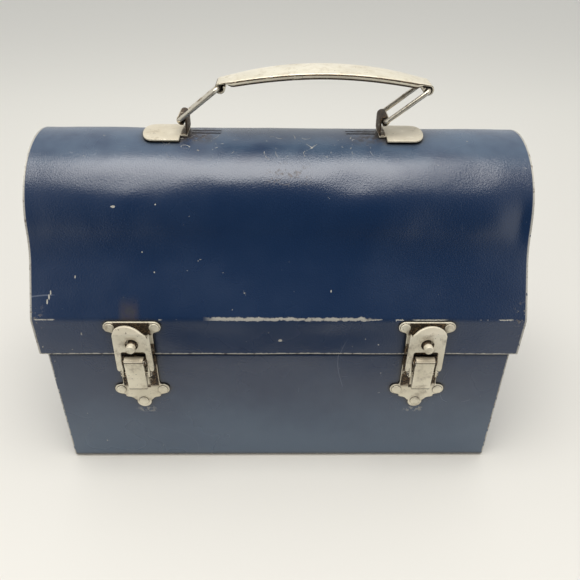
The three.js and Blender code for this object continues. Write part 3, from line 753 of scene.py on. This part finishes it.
def piece(name, bm, body, slot, material, *nodes, sharp=38):
    """Turns a bmesh in millimetres into a piece that rides on a body and stands for CAD nodes."""
    bmesh.ops.recalc_face_normals(bm, faces=bm.faces)
    for face in bm.faces:
        face.smooth = True
    for edge in bm.edges:
        edge.smooth = not edge.is_manifold or edge.calc_face_angle(0) < math.radians(sharp)
    mesh = bpy.data.meshes.new(name)
    bm.to_mesh(mesh)
    bm.free()
    mesh.transform(Matrix.Scale(MM, 4))
    mesh.materials.append(material)
    made = bpy.data.objects.new(name, mesh)
    bpy.context.scene.collection.objects.link(made)
    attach(made, body)
    if nodes:
        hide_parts(*nodes)
    return made


# ---- Sheet metal of the box ----
def fillet_geometry():
    along = Vector((PANEL_SLOPE, 1)).normalized()
    outward = Vector((-along.y, along.x))
    start = Vector((-LID_FACE, RIM_TOP))
    centre0 = start + outward * FILLET - Vector((0, DOME_CENTRE))
    b = centre0.dot(along)
    run = -b - math.sqrt(b * b - (centre0.length_squared - (DOME + FILLET) ** 2))
    centre = start + outward * FILLET + along * run
    dome_angle = math.degrees(math.atan2(centre.y - DOME_CENTRE, centre.x))
    panel_angle = math.degrees(math.atan2(-outward.y, -outward.x))
    return start, along, outward, run, centre, panel_angle, dome_angle


PANEL_START, PANEL_ALONG, PANEL_OUT, PANEL_RUN, FILLET_AT, PANEL_ANGLE, DOME_ANGLE = fillet_geometry()
CREASE = 1.6


def lid_line(spacing=1.6):
    """The lid's outer profile in Y and Z from the front's lower edge over the dome to the back's."""
    corner = PANEL_START
    rim_end = corner - Vector((0, CREASE))
    panel_begin = corner + PANEL_ALONG * CREASE
    half = [Vector((-LID_FACE, LID_LINE)).lerp(rim_end, k / 13) for k in range(13)]
    half += bend(rim_end, corner, panel_begin, 5)
    panel_end = corner + PANEL_ALONG * PANEL_RUN
    half += [panel_begin.lerp(panel_end, k / 15) for k in range(1, 15)]
    half += arc(FILLET_AT.x, FILLET_AT.y, FILLET, PANEL_ANGLE, DOME_ANGLE - 180, 12)
    steps = round(math.radians(2 * DOME_ANGLE - 180) * DOME / spacing)
    dome = arc(0, DOME_CENTRE, DOME, DOME_ANGLE, 180 - DOME_ANGLE, steps)[1:-1]
    return half + dome + [Vector((-p.x, p.y)) for p in reversed(half)]


def body_line():
    lip = BODY_FACE - LIP_INSET
    half = [Vector((lip, LIP_TOP)), Vector((lip, LID_LINE + 1)), Vector((lip, LID_LINE))]
    half += [Vector((BODY_FACE, LID_LINE - 1.2))]
    top, low = LID_LINE - 2.5, BODY_CORNER
    half += [Vector((BODY_FACE, top + (low - top) * k / 26)) for k in range(26)]
    half += arc(BODY_FACE - BODY_CORNER, BODY_CORNER, BODY_CORNER, 0, -90, 6)
    run = BODY_FACE - BODY_CORNER
    half += [Vector((run * (1 - k / 20), 0)) for k in range(1, 20)]
    return half + [Vector((0, 0))] + [Vector((-p.x, p.y)) for p in reversed(half)]


def line_normals(line):
    normals = []
    for i in range(len(line)):
        a = line[min(i + 1, len(line) - 1)] - line[max(i - 1, 0)]
        normals.append(Vector((-a.y, a.x)).normalized())
    return normals


def bell(value, centre, width):
    return math.exp(-(((value - centre) / width) ** 2))


# Dents in the front: x, height, half width along x, half height, depth
LID_DENTS = (
    (-2, 151, 38, 12, 1.5), (38, 166, 13, 6, 1.0), (-75, 166, 30, 6, 0.7), (88, 166, 26, 6, 0.5),
    (84, 150, 18, 9, 0.8), (-60, 150, 40, 10, 0.5), (124, 148, 9, 9, 2.0), (-20, 120, 34, 9, 0.5),
    (60, 122, 30, 9, 0.5), (30, 94, 26, 7, 0.35), (-34, 95, 22, 7, 0.3),
)
BODY_DENTS = ((0, 48, 60, 26, 0.9), (-95, 40, 22, 24, 0.5), (98, 30, 18, 20, 0.5), (40, 20, 30, 14, -0.4))


def lid_wave(x, y, z):
    """How far the lid's sheet stands out of its true profile: dents in the front and a gentle unevenness."""
    inward = sum(
        depth * bell(x, cx, wx) * bell(z, cz, wz) for cx, cz, wx, wz, depth in LID_DENTS if y < 0
    )
    uneven = noise.noise(Vector((x / 34, y / 30, z / 26 + 7))) * 0.38
    uneven += noise.noise(Vector((x / 13, y / 14 + 3, z / 11))) * 0.10
    held = 1 - bell(abs(x - HANDLE_X), EYE_X + 10, 16) * bell(y, 0, 16)
    seat = 1 - bell(abs(x), LATCH_X, 17) * (1 if z < RIM_TOP + 2 and y < 0 else 0)
    end = min(1.0, (LID_END - abs(x)) / 8 + 0.25)
    back = 0.4 if y > LID_FACE - 1 and z < 98 else 1.0
    return (uneven - inward) * held * seat * max(end, 0.25) * back


def body_wave(x, y, z):
    if z < 1 or z > LID_LINE - 2:
        return 0.0
    inward = sum(depth * bell(x, cx, wx) * bell(z, cz, wz) for cx, cz, wx, wz, depth in BODY_DENTS if y < 0)
    uneven = noise.noise(Vector((x / 45, y / 40 + 2, z / 36))) * 0.45
    calm = min(1.0, (BODY_HALF - abs(x)) / 14) * min(1.0, z / 10) * min(1.0, (LID_LINE - z) / 12)
    seat = 1 - bell(abs(x), LATCH_X, 17) * bell(z, 62, 30) * (1 if y < 0 else 0)
    hinge = 0.2 if y > 0 and z > 60 else 1.0
    return (uneven - inward) * calm * seat * hinge


def wrapped_sheet(bm, line, half_length, wave, spacing=2.2):
    """A sheet bent along the line and running along X, with its own thickness."""
    normals = line_normals(line)
    columns = round(2 * half_length / spacing)
    outer, inner = [], []
    for i in range(columns + 1):
        x = -half_length + 2 * half_length * i / columns
        near, far = [], []
        for here, normal in zip(line, normals):
            out = here + normal * wave(x, here.x, here.y)
            inside = out - normal * SHEET
            near.append(bm.verts.new((x, out.x, out.y)))
            far.append(bm.verts.new((x, inside.x, inside.y)))
        outer.append(near)
        inner.append(far)
    last = len(line) - 1
    for i in range(columns):
        for k in range(last):
            bm.faces.new((outer[i][k], outer[i + 1][k], outer[i + 1][k + 1], outer[i][k + 1]))
            bm.faces.new((inner[i][k], inner[i][k + 1], inner[i + 1][k + 1], inner[i + 1][k]))
        for k in (0, last):
            bm.faces.new((outer[i][k], inner[i][k], inner[i + 1][k], outer[i + 1][k]))
    for i in (0, columns):
        for k in range(last):
            bm.faces.new((outer[i][k], outer[i][k + 1], inner[i][k + 1], inner[i][k]))


def cut_out(target, cutter_bm):
    """Cuts a shape in millimetres out of a piece."""
    mesh = bpy.data.meshes.new("cutter")
    bmesh.ops.recalc_face_normals(cutter_bm, faces=cutter_bm.faces)
    cutter_bm.to_mesh(mesh)
    cutter_bm.free()
    mesh.transform(Matrix.Scale(MM, 4))
    cutter = bpy.data.objects.new("cutter", mesh)
    bpy.context.scene.collection.objects.link(cutter)
    modifier = target.modifiers.new("cut", "BOOLEAN")
    modifier.object = cutter
    modifier.solver = "EXACT"
    bpy.context.view_layer.update()
    done = bpy.data.meshes.new_from_object(target.evaluated_get(bpy.context.evaluated_depsgraph_get()))
    target.modifiers.clear()
    old = target.data
    target.data = done
    bpy.data.meshes.remove(old)
    bpy.data.objects.remove(cutter)
    bpy.data.meshes.remove(mesh)


def make_lid_shell():
    bm = bmesh.new()
    wrapped_sheet(bm, lid_line(), LID_END, lid_wave)
    lid = piece("lid_sheet", bm, "lid", "lid_paint", PAINT_LID, "lid_shell")
    slots = bmesh.new()
    for side, _ in SIDES:
        for y in (-1.4, 2.4):
            reach = VENT_HALF - VENT_WIDE
            x = HANDLE_X + side * VENT_X
            outline = arc(x + reach, y, VENT_WIDE, -90, 90, 8) + arc(x - reach, y, VENT_WIDE, 90, 270, 8)
            plate(slots, [outline], 9, 0.01, lying(lid_high.z - 5))
    cut_out(lid, slots)


def sunk_end(part, body, word, material, side, line, edge, recess):
    """A sunk end panel whose flange runs out inside the wrapped sheet to its edge."""
    bm = bmesh.new()
    inside = -(SHEET + 0.3)
    half = SHEET * 0.45
    deep = edge - recess - half
    section = strip_outline(points((inside - half, deep), (inside - half, edge - 0.1)), half)
    normals = line_normals(line)
    rings = []
    for here, normal in zip(line, normals):
        spots = [(here + normal * p.x, p.y) for p in section]
        rings.append([bm.verts.new((side * along, spot.x, spot.y)) for spot, along in spots])
    for low, high in zip(rings, rings[1:]):
        bridge(bm, low, high)
    bm.faces.new(rings[0][::-1])
    bm.faces.new(rings[-1])
    outline = [here + normal * (inside - half) for here, normal in zip(line, normals)]
    start = min(side * (deep - half), side * (deep + half))
    plate(bm, [outline], 2 * half, 0.05, across_x(start), 1)
    piece(f"{part}_panel_{word}", bm, body, f"{part}_paint", material, f"{part}_end_{word}")


def make_body_shell():
    bm = bmesh.new()
    wrapped_sheet(bm, body_line(), BODY_HALF, body_wave, 3.2)
    piece("body_sheet", bm, "box", "body_paint", PAINT_BODY, "body_shell")


# ---- Hinge ----
KNUCKLES = 9
LEAF_HALF = 110.0


def make_hinge():
    pitch = 2 * LEAF_HALF / KNUCKLES
    body_leaf, lid_leaf = bmesh.new(), bmesh.new()
    leaves = ((body_leaf, BODY_FACE + 0.1, 66.0, 78.2), (lid_leaf, LID_FACE + 0.1, 82.0, 96.0))
    for bm, y, low, high in leaves:
        corners = points((-LEAF_HALF, low), (LEAF_HALF, low), (LEAF_HALF, high), (-LEAF_HALF, high))
        outline = rounded(corners, 1.5)
        plate(bm, [outline], PLATE, 0.2, lambda u, v, w, y=y: Vector((-u, y + w, v)))
    knuckle = [(1.35, 0.0), (2.0, 0.0), (2.2, 0.25), (2.2, pitch - 0.55), (2.0, pitch - 0.3)]
    knuckle += [(1.35, pitch - 0.3), (1.35, 0.0)]
    for i in range(KNUCKLES):
        bm = body_leaf if i % 2 == 0 else lid_leaf
        x = -LEAF_HALF + i * pitch + 0.15
        turned(bm, knuckle, (x, HINGE.y, HINGE.z), (1, 0, 0), 20)
        if i % 2 == 0:
            leg = points((BODY_FACE + 0.6, 77.2), (BODY_FACE + 0.9, 78.3))
            leg += points((HINGE.y - 1.75, 79.3), (HINGE.y - 1.8, 80.2))
        else:
            leg = points((LID_FACE + 0.6, 82.6), (LID_FACE + 0.55, 82.0), (HINGE.y - 1.75, 81.2))
        outline = strip_outline(leg, 0.4)
        plate(bm, [outline], pitch - 0.5, 0.1, across_x(x + 0.1), 1)
    piece("hinge_leaf_on_body", body_leaf, "box", "hinge_paint", PAINT_HINGE, "hinge_leaf_body")
    piece("hinge_leaf_on_lid", lid_leaf, "lid", "hinge_paint", PAINT_HINGE, "hinge_leaf_lid")
    pin = bmesh.new()
    end = LEAF_HALF + 1.4
    profile = [(0, -end), (1.3, -end), (1.8, -end + 0.35), (1.8, -end + 1), (1.1, -end + 1)]
    turned(pin, both_ends(profile), HINGE, (1, 0, 0), 20)
    piece("hinge_wire", pin, "box", "steel_wire", STEEL_WIRE, "hinge_pin")


# ---- Latches ----
KEEPER_RIVETS = ((-11.4, 99.4), (11.4, 99.4))
BASE_RIVETS = ((-11.4, 56.0), (11.4, 56.0), (0.0, 47.6))
STUD_AT, STUD_END = 91.7, 11.2
KEEPER_OUT = LID_FACE - BODY_FACE + 0.1
HASP_FRONT, HASP_SHEET, HASP_BEND = 7.0, 1.2, 98.4


def circle(x, y, radius, steps=20):
    return arc(x, y, radius, 0, 360, steps)[:-1]


def rivet(bm, x, z, out, wall):
    """A domed head on the plate, its shank and the tail it is closed with inside the sheet."""
    grip = out - wall + SHEET + 0.1
    tail = [(0, -grip - 0.8), (1.6, -grip - 0.8), (2.0, -grip - 0.4), (2.0, -grip), (1.1, -grip), (1.1, 0)]
    head = [(2.55, 0), (2.62, 0.2), (2.55, 0.42), (2.3, 0.6), (1.8, 0.68), (0, 0.74)]
    turned(bm, tail + head, (x, -BODY_FACE - out, z), (0, -1, 0), 24)


def keeper_outline():
    half = points((0, 102.7)) + arc(11.4, 99.4, 3.3, 90, -48, 14)
    half += points((10.5, 95.6), (10.1, 94.6), (10, 93), (10, 82), (9.6, 81.6), (0, 81.6))
    return mirrored(half)


def base_outline():
    half = points((0, 79.6), (9.5, 79.6), (9.85, 79.2), (9.85, 62), (9.95, 60.6), (10.3, 59.6))
    half += arc(11.6, 56, 3.3, 102, -62, 16) + points((11.6, 52.6), (10.2, 52.3), (9.6, 51.8), (9.5, 50.8))
    half += points((8.6, 50.4), (7.0, 50.1), (5.7, 49.4), (4.7, 48.2)) + arc(0, 46.8, 3.9, 12, -90, 8)
    return mirrored(half)


def make_keeper(x, word):
    bm = bmesh.new()
    holes = [circle(u, v, 1.3) for u, v in KEEPER_RIVETS] + [circle(0, STUD_AT, 1.7)]
    plate(bm, [keeper_outline()] + holes, PLATE, 0.28, facing_front(x, KEEPER_OUT))
    piece(f"keeper_{word}", bm, "lid", "nickel", NICKEL_KEEPER, f"keeper_plate_{word}")
    for i, (u, z) in enumerate(KEEPER_RIVETS, 1):
        head = bmesh.new()
        rivet(head, x + u, z, KEEPER_OUT + PLATE + 0.05, LID_FACE - BODY_FACE)
        piece(f"keeper_head_{word}_{i}", head, "lid", "nickel", NICKEL_BRIGHT, f"keeper_rivet_{word}_{i}")
    bm = bmesh.new()
    foot = KEEPER_OUT + PLATE + 0.05
    end = STUD_END - foot
    tail = [(0, -3.0), (2.1, -3.0), (2.4, -2.7), (2.4, -2.15), (1.5, -2.15), (1.5, 0)]
    shank = [(2.3, 0), (2.3, end - 0.3), (2.2, end - 0.1), (2.0, end), (0, end)]
    turned(bm, tail + shank, (x, -BODY_FACE - foot, STUD_AT), (0, -1, 0), 32)
    piece(f"stud_{word}", bm, "lid", "nickel", NICKEL_STUD, f"keeper_stud_{word}")


def side_view(outline):
    return [Vector((-BODY_FACE - p.x, p.y)) for p in outline]


def make_base(x, word):
    bm = bmesh.new()
    holes = [circle(u, v, 1.3) for u, v in BASE_RIVETS]
    plate(bm, [base_outline()] + holes, PLATE, 0.28, facing_front(x, 0.1))
    out, z = LEVER_PIVOT
    ear = points((0.7, 68), (0.7, 79.2), (2.4, 80.4)) + arc(out, z, 2, 120, -45, 14)
    ear += points((4.6, 75.6), (3.2, 68))
    for left in (5.3, -6.1):
        plate(bm, [side_view(ear), side_view(circle(out, z, 1.3, 16))], 0.8, 0.15, across_x(x + left), 2)
    piece(f"base_{word}", bm, "box", "nickel", NICKEL_BASE, f"latch_base_{word}")
    for i, (u, height) in enumerate(BASE_RIVETS, 1):
        head = bmesh.new()
        rivet(head, x + u, height, 0.1 + PLATE + 0.05, 0)
        piece(f"base_head_{word}_{i}", head, "box", "nickel", NICKEL_BRIGHT, f"base_rivet_{word}_{i}")
    pin = bmesh.new()
    profile = both_ends([(0, -6.1), (0.9, -6.1), (1.05, -5.9)])
    turned(pin, profile, (x, -BODY_FACE - out, z), (1, 0, 0), 20)
    piece(f"lever_rod_{word}", pin, "box", "steel_wire", STEEL_WIRE, f"lever_pin_{word}")


def make_lever(x, word):
    """A folded channel: a front strip that curls over its pin, two cheeks and a bead along the ridge."""
    bm = bmesh.new()
    wall = 0.45
    front = points((6.6, 62.5), (7.5, 62.6), (8.9, 82.3), (8.5, 82.75), (7.2, 83.05))
    front += points((5.8, 82.7), (5.0, 81.7))
    outline = strip_outline(front, wall)
    plate(bm, [side_view(outline)], 10, 0.3, across_x(x - 5), 3)
    cheek = points((8.7, 82.1), (7.2, 82.9), (5.7, 82.5), (4.7, 81.5), (4.3, 78))
    cheek += points((4.0, 71), (5.0, 65.6), (6.2, 63.1), (7.4, 62.7))
    holes = [side_view(circle(*spot, 1.3, 16)) for spot in (LEVER_PIVOT, HASP_PIVOT)]
    for left in (-4.92, 4.02):
        plate(bm, [side_view(cheek)] + holes, 0.9, 0.1, across_x(x + left), 2)
    bead = points((8.8, 81.9), (9.55, 82.1), (9.6, 82.6), (9.2, 82.95), (8.7, 82.9))
    plate(bm, [side_view(rounded(bead, 0.2, 3))], 9.7, 0.2, across_x(x - 4.85), 2)
    piece(f"lever_{word}_channel", bm, f"lever_{word}", "nickel", NICKEL_LEVER, f"latch_lever_{word}")
    pin = bmesh.new()
    profile = [(0, -8.3), (1.2, -8.3), (1.6, -8.1), (1.6, -7.7), (1.05, -7.7)]
    turned(pin, both_ends(profile), (x, -BODY_FACE - HASP_PIVOT[0], HASP_PIVOT[1]), (1, 0, 0), 20)
    piece(f"hasp_rod_{word}", pin, f"lever_{word}", "steel_wire", STEEL_WIRE, f"hasp_pin_{word}")


HASP_CROWN = {"left": -3.2, "right": 1.8}


def hasp_outline(lean):
    """The hasp's outline; its crown is highest a little to one side of the middle."""
    crown = []
    for k in range(21):
        u = 8.4 * (1 - k / 10)
        crown.append(Vector((u, 101.9 - (u - lean) ** 2 / 26 - abs(u) ** 6 / 6e5)))
    right = points((9.1, 98.5), (9.35, 97.6), (9.55, 86), (9.7, 76), (9.45, 74.7), (8.9, 74.1))
    right += points((7.3, 74.1), (6.6, 74.5), (6.4, 75.4), (6.4, 86), (6.1, 86.8), (5.3, 87.1))
    left = [Vector((-p.x, p.y)) for p in reversed(right)]
    return crown[::-1] + right + left


def make_hasp(x, word, lean):
    bm = bmesh.new()
    loops = [hasp_outline(lean), circle(0, 92.1, 3.3, 28)]
    plate(bm, loops, HASP_SHEET, 0.28, facing_front(x, HASP_FRONT - HASP_SHEET))
    divide(bm, 2, [HASP_BEND + 0.25 * k for k in range(-2, 3)])
    for vert in bm.verts:
        over = vert.co.z - (HASP_BEND - 0.5)
        if over > 0:
            vert.co.y += 0.7 * (over * over / 2 if over < 1 else over - 0.5)
    out, z = HASP_PIVOT
    ear = points((5.9, 78)) + arc(out, z, 2.2, 195, 345, 14) + points((6.9, 78))
    for left in (6.4, -7.4):
        plate(bm, [side_view(ear), side_view(circle(out, z, 1.3, 16))], 1.0, 0.2, across_x(x + left), 2)
    piece(f"hasp_{word}_plate", bm, f"hasp_{word}", "nickel", NICKEL_HASP, f"latch_hasp_{word}")


def make_latches():
    for side, word in SIDES:
        x = side * LATCH_X
        make_keeper(x, word)
        make_base(x, word)
        make_lever(x, word)
        make_hasp(x, word, HASP_CROWN[word])


# ---- Handle ----
BRACKET_HALF, BRACKET_ROUND = 12, 64.3
BRACKET_CURVE = 0.0062  # the plates are bent a little less than the dome
LEFT_LINK_TWIST = 0.17


def make_bracket(side, word):
    bm = bmesh.new()
    foot = lid_high.z + 0.1
    tongue = EYE_X - EYE_OUTER
    shoulder = EYE_X + 1.4
    turn = arc(0, 0, 1, -90, 90, 28)
    end = [Vector((BRACKET_ROUND + 9 * math.sqrt(max(p.x, 0)), BRACKET_HALF * p.y)) for p in turn]
    outline = points((shoulder, -EYE_HALF), (shoulder, -BRACKET_HALF)) + end
    outline += points((shoulder, BRACKET_HALF), (shoulder, EYE_HALF))
    outline += points((tongue + 0.3, EYE_HALF), (tongue + 0.3, -EYE_HALF))
    outline = [Vector((side * p.x, p.y)) for p in resampled(outline, 2.5)]
    plate(bm, [outline], PLATE, 0.25, lying(foot))
    divide(bm, 1, [-10 + 2.5 * k for k in range(9)])
    for vert in bm.verts:
        vert.co.z -= BRACKET_CURVE * vert.co.y ** 2
    ear = bmesh.new()
    half = PLATE / 2
    line = points((tongue + 3.4, foot + half), (tongue + 1.9, foot + half), (tongue + 0.8, foot + 0.8),
                  (tongue + half, foot + 1.8), (tongue + half, EYE_Z - 2))
    line += arc(EYE_X, EYE_Z, EYE_OUTER - half, 180, -110, 22)
    strip = strip_outline(resampled(line, 0.8, False), half)
    plate(ear, [[Vector((side * p.x, p.y)) for p in strip]], 2 * EYE_HALF, 0.4, across_y(EYE_HALF), 4)
    merge(bm, ear)
    for vert in bm.verts:
        vert.co.x += HANDLE_X
    piece(f"bracket_{word}", bm, "lid", "nickel", NICKEL_BRACKET, f"handle_bracket_{word}")


def merge(bm, other):
    mesh = bpy.data.meshes.new("part")
    other.to_mesh(mesh)
    other.free()
    bm.from_mesh(mesh)
    bpy.data.meshes.remove(mesh)


LEAN = math.atan2(GRIP_EYE.x - EYE_LEFT.x, GRIP_EYE.z - EYE_Z)
LINK_LENGTH = math.hypot(GRIP_EYE.x - EYE_LEFT.x, GRIP_EYE.z - EYE_Z)
LINK_HALF = 8.25


def make_link(side, word):
    bm = bmesh.new()
    along = Vector((math.sin(LEAN), 0, math.cos(LEAN)))
    foot = Vector((HANDLE_X + side * EYE_X, 0, EYE_Z))
    corners = [foot + along * run + Vector((0, y, 0)) for run, y in
               ((0, -LINK_HALF), (LINK_LENGTH, -LINK_HALF), (LINK_LENGTH, LINK_HALF), (0, LINK_HALF))]
    tube(bm, rounded_path(corners, 2.4, True), WIRE, True)
    if word == "left":
        for vert in bm.verts:
            vert.co.x += LEFT_LINK_TWIST * vert.co.y
    piece(f"link_{word}_wire", bm, f"link_{word}", "steel_wire", STEEL_WIRE, f"handle_link_{word}")


GRIP_ARCH, GRIP_HALF = 6.3, 11.0


def grip_section(x):
    """The sheet's middle line at a distance from the grip's middle: crowned, with its edges rolled under."""
    t = abs(x) / EYE_X
    top = EYE_OUTER - 0.42 + GRIP_ARCH * (1 - t * t)
    half = EYE_HALF - 0.4 + (GRIP_HALF - EYE_HALF) * (1 - t ** 3)
    full = min(max((EYE_X - abs(x) - 2) / 5, 0), 1)
    full = full * full * (3 - 2 * full)
    roll = 0.35 + 0.85 * full
    turn = 60 + 130 * full
    right = [Vector((half - roll, top)) + Vector((roll * math.sin(a), -roll + roll * math.cos(a)))
             for a in (math.radians(20 + (turn - 20) * k / 14) for k in range(15))]
    flat = [Vector(((half - roll) * (k / 8), top + 0.5 * full * (1 - (k / 8) ** 2))) for k in range(9)]
    side = flat + right
    return [Vector((-p.x, p.y)) for p in reversed(side[1:])] + side


def make_grip():
    bm = bmesh.new()
    middle = Vector((GRIP_EYE.x + EYE_X, 0, GRIP_EYE.z))
    stations = 72
    rings = []
    for i in range(stations + 1):
        x = EYE_X * (-1 + 2 * i / stations)
        outline = strip_outline(grip_section(x), 0.42)
        rings.append([bm.verts.new(middle + Vector((x, p.x, p.y))) for p in outline])
    for low, high in zip(rings, rings[1:]):
        bridge(bm, low, high)
    for ring in (rings[0][::-1], rings[-1]):
        bm.faces.new(ring)
    for side, _ in SIDES:
        centre = middle + Vector((side * EYE_X, 0, 0))
        radius = EYE_OUTER - 0.42
        line = points((-2.2, radius + 0.25), (-0.8, radius + 0.08)) + arc(0, 0, radius, 90, -215, 24)
        curl = [Vector((centre.x + side * p.x, centre.z + p.y)) for p in strip_outline(line, 0.45)]
        plate(bm, [curl], 2 * EYE_HALF, 0.3, across_y(EYE_HALF))
    piece("grip_strap", bm, "grip", "nickel", NICKEL_GRIP, "handle_grip", sharp=50)


# ---- Bottle bail ----
BAIL_STUB = 11.0


def make_bail():
    seat_y, seat_z = -BAIL_PIVOT.y, BAIL_PIVOT.z
    low, high = box_mm("bottle_bail")
    bottom = low.z + WIRE
    half = high.x - BAIL_STUB
    sag = seat_z - bottom
    radius = (seat_y * seat_y + sag * sag) / (2 * sag)
    reach = math.degrees(math.asin(-seat_y / radius)) - 3
    arm = arc(0, bottom + radius, radius, -90 + reach, -90 - reach, 22)
    left = [Vector((-half, p.x, p.y)) for p in arm]
    right = [Vector((half, p.x, p.y)) for p in reversed(arm)]
    stub = [Vector((-high.x, -seat_y, seat_z)), Vector((-half - 3.0, -seat_y, seat_z))]
    bar = [Vector((-half + 3, seat_y, seat_z)), Vector((half - 3, seat_y, seat_z))]
    other = [Vector((-p.x, p.y, p.z)) for p in reversed(stub)]
    path = smooth_corners(stub + left + bar + right + other)
    bm = bmesh.new()
    tube(bm, path, WIRE, False)
    piece("bail_wire", bm, "bail", "steel_wire", STEEL_WIRE, "bottle_bail")
    for node in ("bail_clip_left", "bail_clip_right", "bail_catch"):
        make_clip(node)


def smooth_corners(path):
    """A Catmull-Rom curve through the points, with its tangents kept short at uneven spacing."""
    made = []
    for i in range(len(path) - 1):
        a, b = path[i], path[i + 1]
        span = (b - a).length
        before = path[i - 1] if i else a
        after = path[i + 2] if i + 2 < len(path) else b
        ta = (b - before).normalized() * span
        tb = (after - a).normalized() * span
        for k in range(4):
            t = k / 4
            h = (2 * t**3 - 3 * t**2 + 1, t**3 - 2 * t**2 + t, -2 * t**3 + 3 * t**2, t**3 - t**2)
            made.append(a * h[0] + ta * h[1] + b * h[2] + tb * h[3])
    return made + [path[-1]]


def make_clip(node):
    """A strip with its foot on the sloping panel and its end curled round the bail's wire."""
    low, high = box_mm(node)
    facing = 1 if low.y < 0 else -1
    seat = Vector((-BAIL_PIVOT.y, BAIL_PIVOT.z))
    away = PANEL_OUT * (EYE_OUTER - PLATE / 2)
    curl_start = math.degrees(math.atan2(PANEL_OUT.y, PANEL_OUT.x))
    turn = 215 if facing > 0 else 290
    line = [seat + away - PANEL_ALONG * 6, seat + away - PANEL_ALONG * 3]
    line.append(seat + away)
    line += arc(seat.x, seat.y, EYE_OUTER - PLATE / 2, curl_start, curl_start - turn, 18)[1:]
    foot = [seat + away + PANEL_ALONG * 0.5, seat + away + PANEL_ALONG * 6]
    bm = bmesh.new()
    for stretch in (line, foot):
        outline = [Vector((facing * p.x, p.y)) for p in strip_outline(stretch, PLATE / 2 - 0.05)]
        plate(bm, [outline], high.x - low.x, 0.2, across_x(low.x), 2)
    piece(f"{node}_strip", bm, "lid", "steel_wire", STEEL_WIRE, node)


# ---- The whole box ----
make_stage()
PAINT_LID = paint("navy_enamel_lid", lid_wear, 1.72, lid_top_paler)
PAINT_END = paint("navy_enamel_lid_ends", end_wear)
PAINT_BODY = paint("navy_enamel_body", body_wear, 1.71, body_painted_reflection)
PAINT_HINGE = paint("navy_enamel_hinge", hinge_wear)
NICKEL_BRIGHT = nickel("nickel_rubbed", None, 0.5)
NICKEL_KEEPER = nickel("nickel_keeper", keeper_tarnish_and_shade)
NICKEL_BASE = nickel("nickel_base", base_grime_and_shade)
NICKEL_STUD = nickel("nickel_stud", stud_painted_shade, 0.4, 0.55)
NICKEL_HASP = nickel("nickel_hasp", hasp_painted_shade, 0.5)
NICKEL_LEVER = nickel("nickel_lever", lever_painted_shade, 0.45)
NICKEL_BRACKET = nickel("nickel_bracket", ear_tarnish_and_shade, 0.45)
NICKEL_GRIP = nickel("nickel_grip", grip_painted_shade, 0.3, 0.3)
STEEL_WIRE = wire_steel("drawn_wire")

make_lid_shell()
make_body_shell()
for side, word in SIDES:
    sunk_end("lid", "lid", word, PAINT_END, side, lid_line(2.4), LID_END, 2.6)
    sunk_end("body", "box", word, PAINT_BODY, side, body_line(), BODY_HALF, 3.0)
make_hinge()
make_latches()
for side, word in SIDES:
    make_bracket(side, word)
    make_link(side, word)
make_grip()
make_bail()
